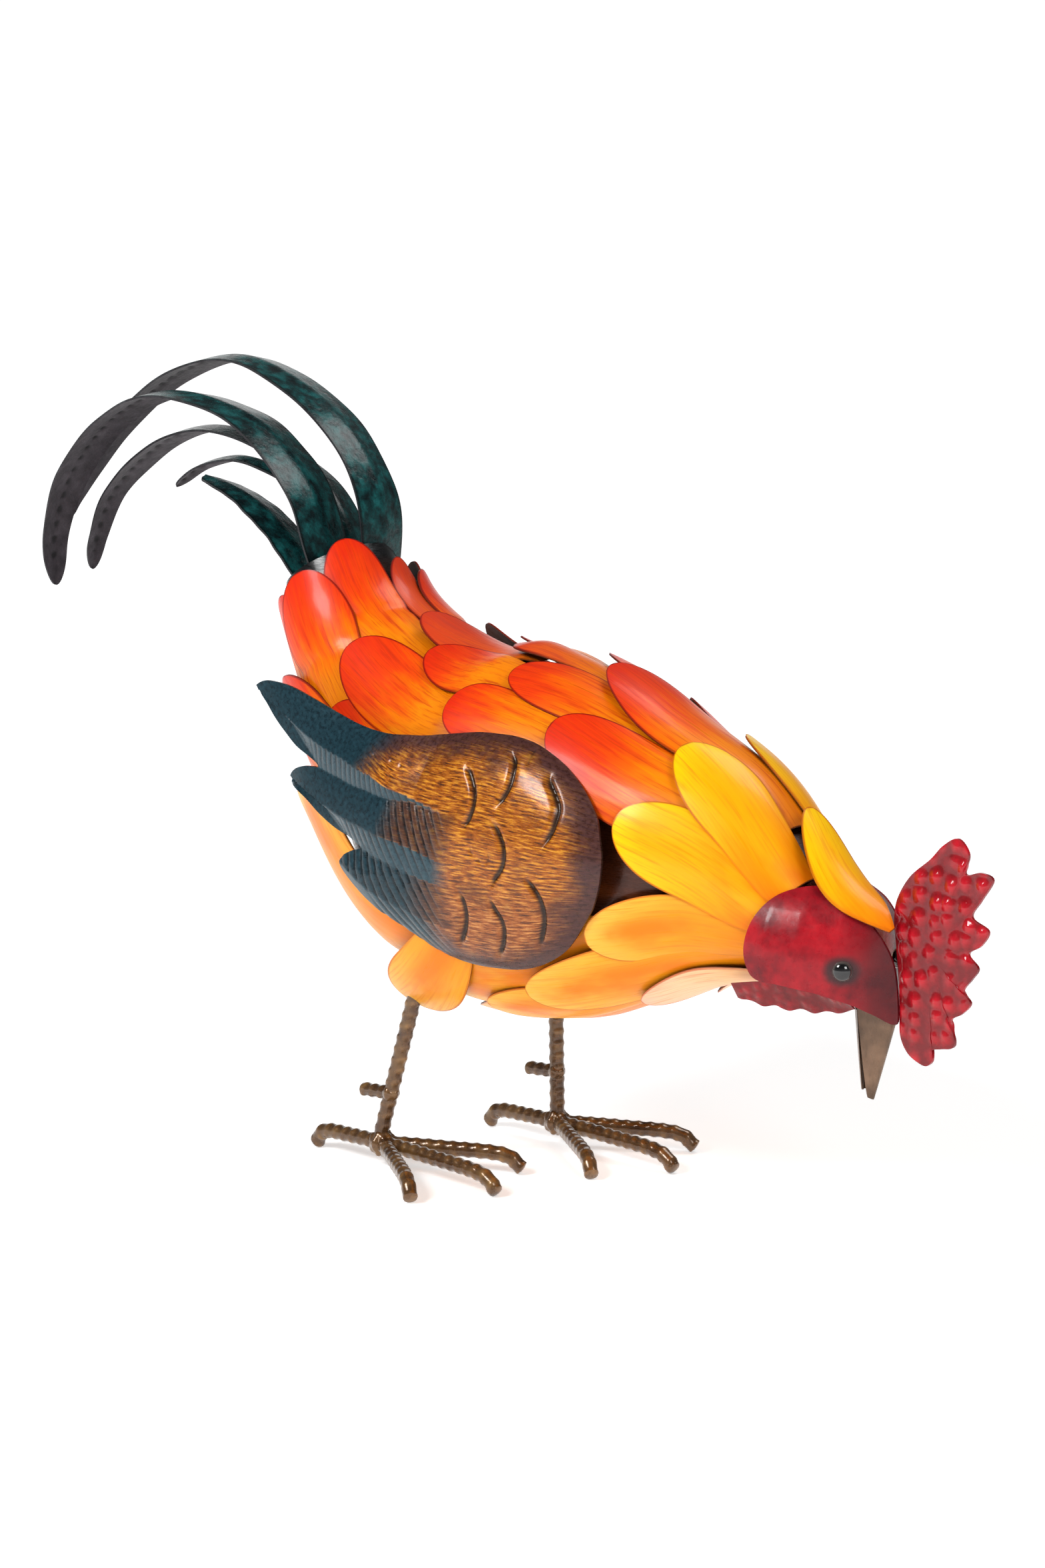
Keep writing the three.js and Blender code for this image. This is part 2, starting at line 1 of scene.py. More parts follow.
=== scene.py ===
# %% [markdown]
# # A pecking rooster of painted sheet metal
#
# The real bird is made from scrap: oval feathers cut from thin sheet and brushed with
# paint, spot-welded in rows over a dark shell, with pressed wings, creased tail plumes,
# and legs of ribbed reinforcing bar. Nearly every piece below is a surface worked out as
# a formula over a grid of two parameters, and the wings are a formula over a flat mesh of
# triangles. Sheet metal is made the same way: a flat blank, then a few bends and presses.
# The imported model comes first, as a fixed frame to fill.

import bpy
import bmesh
import numpy as np
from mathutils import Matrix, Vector
from mathutils.geometry import delaunay_2d_cdt


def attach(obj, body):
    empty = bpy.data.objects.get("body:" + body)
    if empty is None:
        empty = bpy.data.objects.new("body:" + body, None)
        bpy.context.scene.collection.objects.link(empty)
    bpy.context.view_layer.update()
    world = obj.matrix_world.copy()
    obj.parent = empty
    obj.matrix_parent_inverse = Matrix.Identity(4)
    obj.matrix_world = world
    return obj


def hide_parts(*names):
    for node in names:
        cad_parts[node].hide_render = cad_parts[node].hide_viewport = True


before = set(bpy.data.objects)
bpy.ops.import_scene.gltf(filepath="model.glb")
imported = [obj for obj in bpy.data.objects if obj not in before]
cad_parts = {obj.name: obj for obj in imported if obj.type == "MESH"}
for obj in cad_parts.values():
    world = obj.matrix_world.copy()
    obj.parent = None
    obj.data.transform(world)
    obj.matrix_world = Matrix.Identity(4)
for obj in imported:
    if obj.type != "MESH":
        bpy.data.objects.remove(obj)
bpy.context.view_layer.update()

# %% [markdown]
# ## From a grid of points to a piece
#
# A mesh can be modelled by hand, carved, or worked out. Here each piece is worked out as
# whole arrays of points, so its shape stays a short formula. A sheet gets its outer and
# its inner face from the same formula, and the rim between them is one row of cells, as
# the cut edge of real sheet is. Numbers that a finish needs later, such as how far a
# point is along a feather, are kept on the mesh as marks.

# %% Turn grids into pieces
MM = 0.001                 # the shapes are in millimetres, the scene is in metres
GROUND_SHIFT = 6           # the feet stand this far ahead of the middle of the length
SHARP_EDGE = np.radians(48)
SAME_POINT = 2e-6          # metres within which two corners are one
NO_LENGTH = 1e-6           # an edge shorter than this is dissolved


def grid_cells(rows, columns, wrap):
    """The four corners of every cell of a grid; where it wraps, the last column meets the first."""
    row, column = np.indices((rows - 1, columns if wrap else columns - 1)).reshape(2, -1)
    right = (column + 1) % columns
    here, below = row * columns, (row + 1) * columns
    return np.stack([here + column, below + column, below + right, here + right], 1)


def add_piece(name, points, cells, finish, slot, nodes=(), flat=None, **marks):
    """A mesh piece from points in millimetres and cells of corner numbers. `flat` is the
    place of each point on the flat blank, and each mark is one number a point."""
    mesh = bpy.data.meshes.new(name)
    mesh.from_pydata(((points + [GROUND_SHIFT, 0, 0]) * MM).tolist(), [], cells.tolist())
    for mark, values in marks.items():
        layer = mesh.attributes.new(mark, "FLOAT", "POINT")
        layer.data.foreach_set("value", np.broadcast_to(values, len(points)).astype(np.float32))
    if flat is not None:
        corner = np.zeros(len(mesh.loops), np.int32)
        mesh.loops.foreach_get("vertex_index", corner)
        on_blank = (flat * MM)[corner].astype(np.float32)
        mesh.uv_layers.new(name="flat").data.foreach_set("uv", on_blank.ravel())
    shape = bmesh.new()
    shape.from_mesh(mesh)
    bmesh.ops.remove_doubles(shape, verts=shape.verts, dist=SAME_POINT)
    bmesh.ops.dissolve_degenerate(shape, edges=shape.edges, dist=NO_LENGTH)
    bmesh.ops.recalc_face_normals(shape, faces=shape.faces)
    shape.to_mesh(mesh)
    shape.free()
    mesh.shade_smooth()
    mesh.set_sharp_from_angle(angle=SHARP_EDGE)
    mesh.materials.append(finish)
    piece = bpy.data.objects.new(name, mesh)
    bpy.context.collection.objects.link(piece)
    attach(piece, "root")
    if nodes:
        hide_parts(*nodes)
    return piece


def out_and_back(values):
    """Each row on the outer face, followed by the same row backwards on the inner face."""
    return np.concatenate([values, values[:, ::-1]], 1)


def open_sheet_cells(rows, columns):
    """Both faces as one loop of columns, with a row of cells to close each end."""
    full = 2 * columns
    near = np.arange(columns - 1)
    end = np.stack([near, near + 1, full - 2 - near, full - 1 - near], 1)
    return np.concatenate([grid_cells(rows, full, True), end, end[:, ::-1] + (rows - 1) * full])


def round_sheet_cells(rows, columns):
    """Each face is a disc of rings about its middle, and cells between the last rings of the
    two faces make the rim."""
    full = 2 * columns
    row, column = np.divmod(grid_cells(rows, columns, True), columns)
    outer, inner = row * full + column, row * full + full - 1 - column
    column = np.arange(columns)
    after = np.roll(column, -1)
    rim = np.stack([column, after, full - 1 - after, full - 1 - column], 1) + (rows - 1) * full
    return np.concatenate([outer, inner[:, ::-1], rim])


def add_sheet(name, outer, inner, finish, slot, nodes=(), flat=None, wrap=False, **marks):
    """A closed sheet between two faces over one grid, which is a disc of rings where it wraps.
    The mark `face` is 1 on the outer face and 0 on the inner one."""
    rows, columns = outer.shape[:2]
    points = np.concatenate([outer, inner[:, ::-1]], 1).reshape(-1, 3)
    cells = round_sheet_cells(rows, columns) if wrap else open_sheet_cells(rows, columns)
    marks = {
        mark: out_and_back(np.broadcast_to(values, (rows, columns))).ravel()
        for mark, values in marks.items()}
    marks["face"] = np.concatenate([np.ones((rows, columns)), np.zeros((rows, columns))], 1).ravel()
    if flat is not None:
        flat = out_and_back(flat).reshape(-1, 2)
    return add_piece(name, points, cells, finish, slot, nodes, flat, **marks)


print("cells of a sheet with 3 rows and 4 columns:", len(open_sheet_cells(3, 4)))

# %% [markdown]
# ## Paint
#
# The sculptor brushes thin coats over one another, so no surface has a single colour:
# the pale coat shows through the dark one in streaks, and the clear lacquer on top is
# glossy. Each finish is a small tree of nodes. A ramp gives the coats, a stretched noise
# pushes them to and fro as a dry brush does, and a bump of the same noise catches light.

# %% Small tools for node trees


def colour(code):
    """A paint colour from its six-digit code, turned from screen values to light values."""
    screen = np.array([int(code[k:k + 2], 16) for k in (0, 2, 4)]) / 255
    light = np.where(screen < 0.04045, screen / 12.92, ((screen + 0.055) / 1.055) ** 2.4)
    return (*light.tolist(), 1.0)


class Tree:
    """A material with a lacquered paint shader, and short ways to add nodes to it."""

    def __init__(self, name, roughness=0.35, metallic=0.0, coat=0.25, coat_roughness=0.12, gloss=0.3):
        self.material = bpy.data.materials.new(name)
        self.material.use_nodes = True
        self.nodes = self.material.node_tree.nodes
        self.links = self.material.node_tree.links
        self.shader = self.nodes["Principled BSDF"]
        self.shader.inputs["Roughness"].default_value = roughness
        self.shader.inputs["Metallic"].default_value = metallic
        self.shader.inputs["Specular IOR Level"].default_value = gloss
        self.shader.inputs["Coat Weight"].default_value = coat
        self.shader.inputs["Coat Roughness"].default_value = coat_roughness

    def fill(self, socket, value):
        """Link the socket where the value is a socket too, and else set it."""
        if isinstance(value, bpy.types.NodeSocket):
            self.links.new(value, socket)
        elif value is not None:
            socket.default_value = value

    def add(self, kind, inputs=None, **settings):
        """A node of this kind with its settings and its inputs."""
        node = self.nodes.new(kind)
        for key, value in settings.items():
            setattr(node, key, value)
        for key, value in (inputs or {}).items():
            self.fill(node.inputs[key], value)
        return node

    def mark(self, name):
        """The number that the mesh keeps under this name."""
        return self.add("ShaderNodeAttribute", attribute_name=name).outputs["Fac"]

    def math(self, kind, a, b=0.0, c=0.0):
        """One step of arithmetic on up to three numbers."""
        return self.add("ShaderNodeMath", {0: a, 1: b, 2: c}, operation=kind).outputs[0]

    def flat(self, across, along, shift=None):
        """The place on the flat blank in metres, stretched, and shifted from piece to piece."""
        uv = self.add("ShaderNodeUVMap", uv_map="flat").outputs[0]
        split = self.add("ShaderNodeSeparateXYZ", {0: uv})
        return self.add("ShaderNodeCombineXYZ", {
            0: self.math("MULTIPLY", split.outputs[0], across),
            1: self.math("MULTIPLY", split.outputs[1], along), 2: shift}).outputs[0]

    def place(self, stretch=(1, 1, 1)):
        """The place on the object in metres, stretched."""
        at = self.add("ShaderNodeTexCoord").outputs["Object"]
        return self.add("ShaderNodeMapping", {"Vector": at, "Scale": stretch}).outputs[0]

    def noise(self, vector, scale, detail=4.0, roughness=0.55):
        """A cloudy value about 0.5, with about `scale` clouds to the metre."""
        return self.add("ShaderNodeTexNoise", {
            "Vector": vector, "Scale": scale, "Detail": detail, "Roughness": roughness}).outputs["Fac"]

    def range(self, value, low, high, to_low=0.0, to_high=1.0):
        """From to_low at low to to_high at high, with a smooth start and end."""
        return self.add("ShaderNodeMapRange", {
            0: value, 1: low, 2: high, 3: to_low, 4: to_high}, interpolation_type="SMOOTHSTEP").outputs[0]

    def ramp(self, value, stops):
        """Paint colours that blend from stop to stop."""
        node = self.add("ShaderNodeValToRGB", {0: value})
        bands = node.color_ramp.elements
        while len(bands) < len(stops):
            bands.new(0.5)
        for band, (position, code) in zip(bands, stops):
            band.position = position
            band.color = colour(code)
        return node.outputs[0]

    def mix(self, factor, a, b):
        """Colour a where the factor is 0, colour b where it is 1."""
        a, b = [colour(paint) if isinstance(paint, str) else paint for paint in (a, b)]
        node = self.add("ShaderNodeMix", data_type="RGBA")
        for key, value in ((0, factor), (6, a), (7, b)):
            self.fill(node.inputs[key], value)
        return node.outputs[2]

    def bump(self, height, strength, distance, normal=None):
        """The surface's slope, tilted as if the height were pressed into it."""
        inputs = {"Height": height, "Strength": strength, "Distance": distance, "Normal": normal}
        return self.add("ShaderNodeBump", inputs).outputs[0]

    def finish(self, base, roughness=None, normal=None):
        """Feed the shader, and give the finished material."""
        self.links.new(base, self.shader.inputs["Base Color"])
        if roughness is not None:
            self.links.new(roughness, self.shader.inputs["Roughness"])
        if normal is not None:
            self.links.new(normal, self.shader.inputs["Normal"])
        return self.material


print("comb crimson as light values:", [round(part, 3) for part in colour("b41422")])

# %% Brushed feather paint


def feather_paint(name, stops, streak, edge, blotch=None, under="3a2014"):
    """Coats that run from the root (0) to the tip (1), pushed along by a stretched noise,
    with dark brush lines, a dark cut edge and an unpainted brown back."""
    tree = Tree(name, coat_roughness=0.12, gloss=0.14)
    seed = tree.mark("seed")
    streaks = tree.noise(tree.flat(520, 24, seed), 1.0, 5.0, 0.6)
    patches = tree.noise(tree.flat(60, 26, seed), 1.0, 3.0)
    fine = tree.noise(tree.flat(1600, 40, seed), 1.0, 4.0, 0.65)
    along = tree.mark("along")
    pushed = tree.math("MULTIPLY_ADD", tree.math("SUBTRACT", streaks, 0.5), 0.6, along)
    pushed = tree.math("MULTIPLY_ADD", tree.math("SUBTRACT", patches, 0.5), 0.4, pushed)
    base = tree.ramp(pushed, stops)
    if blotch:
        middle = tree.range(tree.mark("rim"), 3.0, 13.0)
        spot = tree.math("MULTIPLY", tree.range(patches, 0.25, 0.6), middle)
        base = tree.mix(spot, base, blotch)
    base = tree.mix(tree.range(fine, 0.48, 0.70, 0.0, 0.65), base, streak)
    base = tree.mix(tree.range(streaks, 0.53, 0.75, 0.0, 0.65), base, streak)
    tip_half = tree.range(along, 0.25, 0.7, 0.4, 1.0)
    rim = tree.math("MULTIPLY", tree.range(tree.mark("rim"), 0.3, 1.0, 0.9, 0.0), tip_half)
    base = tree.mix(rim, base, edge)
    base = tree.mix(tree.mark("face"), tree.mix(patches, under, "4a2a18"), base)
    normal = tree.bump(fine, 0.14, 0.0002, tree.bump(patches, 0.3, 0.0012))
    tree.links.new(tree.math("MULTIPLY", tree.mark("face"), 0.12), tree.shader.inputs["Coat Weight"])
    rough = tree.math("MULTIPLY_ADD", tree.mark("face"), -0.35, tree.range(streaks, 0.3, 0.75, 0.61, 0.77))
    return tree.finish(base, rough, normal)


flame = feather_paint("flame paint", [
    (0.0, "e07404"), (0.36, "f08408"), (0.56, "ec6204"), (0.74, "e23e08"), (1.0, "d42608")],
    streak="b82c04", edge="780a04")
golden = feather_paint("golden paint", [
    (0.0, "e47004"), (0.28, "ee8c04"), (0.55, "f4ac04"), (1.0, "f8c804")],
    streak="e07c04", edge="b85404", blotch="f4a406")
amber = feather_paint("amber paint", [
    (0.0, "ea8c0c"), (0.40, "f09a1c"), (0.70, "f4ac34"), (1.0, "f6b84c")],
    streak="e07c10", edge="c86410", blotch="ec7c0e")
peach = feather_paint("peach paint", [
    (0.0, "f0a850"), (0.40, "f4bc80"), (0.75, "f6c89c"), (1.0, "f4bc9c")],
    streak="e09464", edge="c86a40")
rose = feather_paint("rose paint", [
    (0.0, "e8780c"), (0.35, "e05c18"), (0.70, "d2461c"), (1.0, "c83418")],
    streak="b43c24", edge="7c1410")
print("feather paints:", [m.name for m in (flame, golden, amber, peach, rose)])

# %% [markdown]
# ## The body's skin
#
# Everything on the bird is hung on one smooth skin, which the welder makes from a few
# hoops along a bent spine. So the skin is a formula too: ellipses stand along a smooth
# line through a few stations. A place on it is named by its length along the spine and a
# clock angle round it, which is how feathers are laid out. Sculpting it by hand would
# look as good, but no feather could then be placed by a formula.

# %% Work out the skin
# Stations from the tail socket to the head: x, z, half height, half width
STATIONS = np.array([
    (-96, 290, 28, 30), (-76, 256, 33, 36), (-34, 212, 56, 50), (21, 176, 82, 67), (92, 170, 78, 63),
    (147, 168, 58, 49), (187, 165, 42, 35), (232, 148, 21, 22), (264, 136, 17, 11)], float)
TILT_SPAN = 40            # hoops stand square to the spine, smoothed over this reach


def smooth_line(points, parts):
    """A smooth line through points: between two of them a cubic, whose slope at each point
    is half the step from the point before to the point after. Gives `parts` points a stretch."""
    around = np.vstack([2 * points[0] - points[1], points, 2 * points[-1] - points[-2]])
    a, b, c, d = (around[k:k + len(points) - 1, None] for k in range(4))
    t = np.arange(parts)[:, None] / parts
    square, cube = 2 * a - 5 * b + 4 * c - d, 3 * b - a - 3 * c + d
    line = 0.5 * (2 * b + (c - a) * t + square * t ** 2 + cube * t ** 3)
    return np.vstack([line.reshape(-1, points.shape[1]), points[-1]])


def run_of(line):
    """Length along a line at each of its points."""
    return np.concatenate([[0], np.cumsum(np.linalg.norm(np.diff(line, axis=0), axis=1))])


SPINE = smooth_line(STATIONS, 40)
RUN = run_of(SPINE[:, :2])
START_SLOPE = (SPINE[1] - SPINE[0]) / (RUN[1] - RUN[0])
END_SLOPE = (SPINE[-1] - SPINE[-2]) / (RUN[-1] - RUN[-2])


def spine_at(s):
    """x, z, half height and half width at length s, carried on straight past the ends."""
    s = np.asarray(s, float)
    inside = np.stack([np.interp(s, RUN, column) for column in SPINE.T], -1)
    before, after = np.minimum(s, 0)[..., None], np.maximum(s - RUN[-1], 0)[..., None]
    return inside + before * START_SLOPE + after * END_SLOPE


def skin(s, clock, height=0.0):
    """The point `height` above the skin. The clock is 0 on the back, 90 on the bird's right."""
    x, z, half_height, half_width = np.moveaxis(spine_at(s), -1, 0)
    ahead = spine_at(np.asarray(s) + TILT_SPAN) - spine_at(np.asarray(s) - TILT_SPAN)
    run = np.hypot(ahead[..., 0], ahead[..., 1])
    angle = np.radians(clock)
    up = (half_height + height) * np.cos(angle)
    aside = -(half_width + height) * np.sin(angle)
    back, rise = up * ahead[..., 1] / run, up * ahead[..., 0] / run
    return np.stack(np.broadcast_arrays(x - back, aside, z + rise), -1)


def per_degree(s, clock):
    """Millimetres along the skin for one degree of the clock."""
    _, _, half_height, half_width = np.moveaxis(spine_at(s), -1, 0)
    angle = np.radians(clock)
    return np.radians(np.hypot(half_height * np.sin(angle), half_width * np.cos(angle)))


print("spine length in mm:", round(RUN[-1], 1))

# %% [markdown]
# ## Shell
#
# Between the feathers a dark welded body shows. At the tail it is open: a socket holds the
# plumes. It could be one plain egg, but then no dark mouth would stand behind them. So its
# hoops start at the bottom of the socket, come out to the rim and then follow the body.
# Near that mouth the shell's paint is darkened to nearly black as painted shade.

# %% Shell under the feathers
SOCKET_DEPTH = 45
SOCKET_TAPER = 0.1
SOCKET_WALL = 2
CORE_END = 372             # the shell ends this far along the spine, inside the head
SHELL_INSET = 0.3
SHELL_ROUND = 72           # points round each hoop
SOCKET_HOOPS = 8
BODY_HOOPS = 80


def shell_paint():
    """Dark brown gloss over scrap, cloudy, with faint runs across the metal, and darkened to
    nearly black near the mouth of the socket as painted shade behind the plumes."""
    tree = Tree("shell paint", roughness=0.28, metallic=0.15, coat=0.15)
    cloud = tree.noise(tree.place((1, 1, 2.5)), 26, 5)
    grain = tree.noise(tree.place((1, 1, 6)), 240, 3)
    base = tree.ramp(cloud, [(0.25, "1c0c06"), (0.55, "4a200c"), (0.8, "6e3412")])
    # Painted shade: nearly black at the mouth of the socket, fading out along the spine
    base = tree.mix(tree.range(tree.mark("reach"), 6, 24, 1, 0), base, "0a0a0c")
    return tree.finish(base, tree.range(grain, 0.3, 0.7, 0.2, 0.38), tree.bump(cloud, 0.3, 0.002))


def shell_points():
    """Hoops of the skin from the bottom of the socket out to its mouth, then along the body,
    closed by a point at each end, and each hoop's length along the spine."""
    clock = np.linspace(0, 360, SHELL_ROUND, endpoint=False)[None]
    depth = np.linspace(SOCKET_DEPTH, 0, SOCKET_HOOPS)[:, None]
    socket = skin(depth, clock, -SOCKET_WALL - SOCKET_TAPER * depth)
    reach = np.linspace(0, CORE_END, BODY_HOOPS)
    body = skin(reach[:, None], clock, -SHELL_INSET)
    bottom, front = (np.broadcast_to(hoop.mean(0), (1, SHELL_ROUND, 3)) for hoop in (socket[0], body[-1]))
    reach = np.concatenate([np.zeros(1 + SOCKET_HOOPS), reach, [CORE_END]])
    return np.concatenate([bottom, socket, body, front]), np.repeat(reach, SHELL_ROUND)


points, reach = shell_points()
shell_cells = grid_cells(*points.shape[:2], True)
add_piece("shell", points.reshape(-1, 3), shell_cells, shell_paint(), "core", ["body_shell"], reach=reach)
print("hoops of the shell:", len(points))

# %% [markdown]
# ## Feathers
#
# A feather is an oval of thin sheet, narrow at the root and round at the tip, beaten a
# little hollow and bent to the body. Its grid runs from root to tip and from edge to
# edge. Feathers nearer the head lie over the ones behind, so each leaves the skin slowly
# towards its tip. A real oval is never quite even, so each outline gets a slow wobble.

# %% Feather formula
SHEET = 1.0
FEATHER_SEAT = 2.0         # height of every feather's root over the skin
FEATHER_RISE = 0.1
FEATHER_DROOP = 0.7
FEATHER_NECK = 0.64        # width of the root end, as a share of the widest place
WIDEST = 0.6               # where a feather is widest, on the way from root to tip
FEATHER_CROWN = 1.1
DENT_DEPTH = 1.4
DENT_REACH = 0.035
DENT_SLANT = 0.05


def oval_half(width, neck, t):
    """Half the width at t: a smooth swell from the neck to the widest place, then an ellipse."""
    swell = 1 - (1 - neck) * np.clip(1 - t / WIDEST, 0, 1) ** 1.6
    round_end = np.sqrt(np.clip(1 - (np.clip(t - WIDEST, 0, 1) / (1 - WIDEST)) ** 2, 0, 1))
    return width / 2 * swell * round_end


def rows_to_tip(turn, even_rows, tip_rows):
    """Rows from 0 to 1: even ones up to the turn, then a quarter of a sine wave, so that they
    crowd together where the tip is round."""
    even = np.linspace(0, turn, even_rows)[:-1]
    return np.concatenate([even, turn + (1 - turn) * np.sin(np.linspace(0, np.pi / 2, tip_rows))])


def columns_across(count):
    """Columns from -1 to 1 that crowd together at both edges, by half a sine wave."""
    return np.sin(np.linspace(-np.pi / 2, np.pi / 2, count))[None]


def add_feather(name, paint, slot, root, tip, width, lift=0.0, rise=FEATHER_RISE, hang=0.0,
                neck=FEATHER_NECK, slip=0.0, left=False, nodes=None, seed=0.0, dent=None):
    """An oval sheet on the skin from root to tip, both [length, clock]. Its height over the
    skin is seat + lift + rise x (way back from the root) + hang x t squared, less a droop
    that grows with the square of the way to the edge. A dent is a bell curve across it."""
    t = rows_to_tip(0.62, 22, 26)[:, None]
    v = columns_across(21)
    root, tip = np.array(root, float) + [slip, 0], np.array(tip, float) + [slip, 0]
    s, clock = root[0] + (tip[0] - root[0]) * t, root[1] + (tip[1] - root[1]) * t
    degree = per_degree(s, clock)
    way, across = tip[0] - root[0], (tip[1] - root[1]) * degree
    length = np.hypot(way, across)
    wobble = 1 + 0.03 * np.sin(5 * t + 9 * seed) * (1 - t) + 0.02 * np.sin(11 * t + 17 * seed) * (1 - t)
    side = oval_half(width, neck, t) * wobble * v
    side_s, side_clock = -side * across / length, side * way / length / degree
    slope = rise * (root[0] - s - side_s) + hang * t ** 2
    if dent:
        slope = slope - DENT_DEPTH * np.exp(-((t + DENT_SLANT * v - dent) / DENT_REACH) ** 2)
    to_edge = (2 * side / width) ** 2
    crown = FEATHER_CROWN * (1 - to_edge) * np.clip(1 - t ** 4, 0, 1) * np.clip(t / 0.2, 0, 1)
    height = FEATHER_SEAT + lift + slope - FEATHER_DROOP * to_edge + crown
    outer, inner = (skin(s + side_s, clock + side_clock, height - depth) for depth in (0, SHEET))
    if left:
        outer, inner = outer * [1, -1, 1], inner * [1, -1, 1]
    full = float(length.mean())
    rim = np.minimum(oval_half(width, neck, t) * (1 - np.abs(v)), (1 - t) * full)
    flat = np.stack(np.broadcast_arrays(side, t * full), -1)
    return add_sheet(name, outer, inner, paint, slot, nodes or (), flat, along=t, rim=rim, seed=seed * 7.3)


quarters = np.linspace(0, 1, 5)
print("half widths of a 40 mm feather, root to tip:", oval_half(40, FEATHER_NECK, quarters).round(1))

# %% [markdown]
# ## Lay the rows
#
# The welder works from the tail to the neck, so that each row hides the roots of the row
# behind it. Random scatter would be quick, but this bird's feathers are few and large,
# and each one shows. So each has its own root and tip, and the far flank repeats the
# near one, with two feathers slipped or lowered so that the ridge isn't too even.

# %% Lay the feathers
# The flank that the photograph shows, and what differs on the other flank
PAIRS = {
    "tail_cover_side": (flame, dict(root=[112, 77], tip=[6, 72], width=35, lift=3, rise=0.06, dent=0.52),
                        dict(lift=0.4)),
    "tail_cover_upper": (flame, dict(root=[114, 28], tip=[-2, 34], width=31, lift=0.9, rise=0.06, dent=0.6),
                         dict(slip=22)),
    "tail_cover_lower": (flame, dict(root=[84, 114], tip=[8, 108], width=30, rise=0.06), {}),
    "rump_low": (flame, dict(root=[130, 82], tip=[46, 127], width=40, lift=2.5), {}),
    "rump_side": (flame, dict(root=[192, 48], tip=[63, 53], width=36, lift=1.2), {}),
    "rump_upper": (flame, dict(root=[222, 26], tip=[99, 28], width=30, lift=1.8), {}),
    "rump_under_wing": (flame, dict(root=[170, 68], tip=[86, 82], width=35, lift=1.2), {}),
    "back_side": (flame, dict(root=[276, 46], tip=[171, 44], width=31, lift=1), {}),
    "back_upper": (flame, dict(root=[304, 17], tip=[205, 27], width=30), {}),
    "shoulder": (flame, dict(root=[350, 52], tip=[249, 42], width=40), {}),
    "hackle_upper": (golden, dict(root=[372, 46], tip=[305, 22], width=31, lift=2, rise=0.13), {}),
    "hackle_side": (golden, dict(root=[369, 79], tip=[296, 65], width=34, lift=0.8, rise=0.12), {}),
    "hackle_low": (amber, dict(root=[361, 112], tip=[283, 114], width=31, rise=0.11), {}),
    "throat": (amber, dict(root=[358, 145], tip=[243, 134], width=35), {}),
    "thigh_rear": (amber, dict(root=[196, 122], tip=[94, 124], width=46, lift=1, rise=0.16), {}),
    "thigh": (amber, dict(root=[215, 108], tip=[172, 152], width=31, lift=6, hang=9), {}),
}
RIDGE = {
    "tail_cover_ridge": (rose, dict(root=[106, -6], tip=[13, -9], width=20, rise=0.06)),
    "rump_ridge": (rose, dict(root=[188, 0], tip=[65, 12], width=26, lift=1)),
    "back_ridge": (rose, dict(root=[242, -2], tip=[139, 4], width=22, lift=1.4)),
    "neck_ridge_lower": (flame, dict(root=[352, 2], tip=[248, 5], width=37, lift=2)),
    "neck_ridge_upper": (golden, dict(root=[420, 25], tip=[355, 2], width=17, lift=8, neck=0.1)),
}
# Under the body: one oval along the middle, and two that have a like on the other side
MIDDLE_CLOCK = 180
BELLY = [
    dict(root=[305, 130], tip=[176, 134], width=58, rise=0.05),
    dict(root=[305, MIDDLE_CLOCK], tip=[184, MIDDLE_CLOCK], width=84, rise=0.05),
    dict(root=[310, 160], tip=[208, 147], width=33, rise=0.08),
]
# Under the chin, on both sides of the middle
CHIN = dict(root=[392, 172], tip=[295, 152], width=24, lift=1)
HACKLE_NAMES = ("hackle", "throat", "thigh", "neck_ridge_upper")


def slot_of(name):
    """Feathers of the neck and the thighs share a slot, all others are flame."""
    return "hackle" if name.startswith(HACKLE_NAMES) else "flame"


feathers = []
for number, (name, (paint, spec, other_flank)) in enumerate(PAIRS.items()):
    for side, own, seed in (("right", spec, number), ("left", {**spec, **other_flank}, number + 0.5)):
        feathers.append(add_feather(f"{name}_{side}", paint, slot_of(name), **own, left=side == "left",
                                    nodes=[f"feather_{name}_{side}"], seed=seed))
for number, (name, (paint, spec)) in enumerate(RIDGE.items()):
    feathers.append(add_feather(name, paint, slot_of(name), **spec, nodes=[f"feather_{name}"],
                                seed=number + 0.25))
for number, spec in enumerate(BELLY):
    on_middle = spec["root"][1] == MIDDLE_CLOCK
    for side in ("right",) if on_middle else ("right", "left"):
        left = side == "left"
        feathers.append(add_feather(f"belly_{number}_{side}", amber, "hackle", **spec, left=left,
                                    nodes=["feather_belly"] if on_middle else None, seed=number + 0.5 * left))
for side, nodes, seed in (("right", ["feather_throat_middle"], 3), ("left", None, 4)):
    feathers.append(add_feather(f"chin_{side}", peach, "hackle", **CHIN, left=side == "left", nodes=nodes,
                                seed=seed))
print("feathers:", len(feathers))

# %% [markdown]
# ## Tail plumes
#
# The plumes are long strips, folded a little along the middle and rolled into an arch.
# The fold stiffens them: that is why they can stand up out of the socket. A flat strip
# with a Simple Deform modifier would bend only in a circle. Here the path is a smooth line
# through a few points in the bird's middle plane, and the strip is carried along it. Punch
# marks run along the fold on the back, where the metal was dressed.

# %% Plume paint


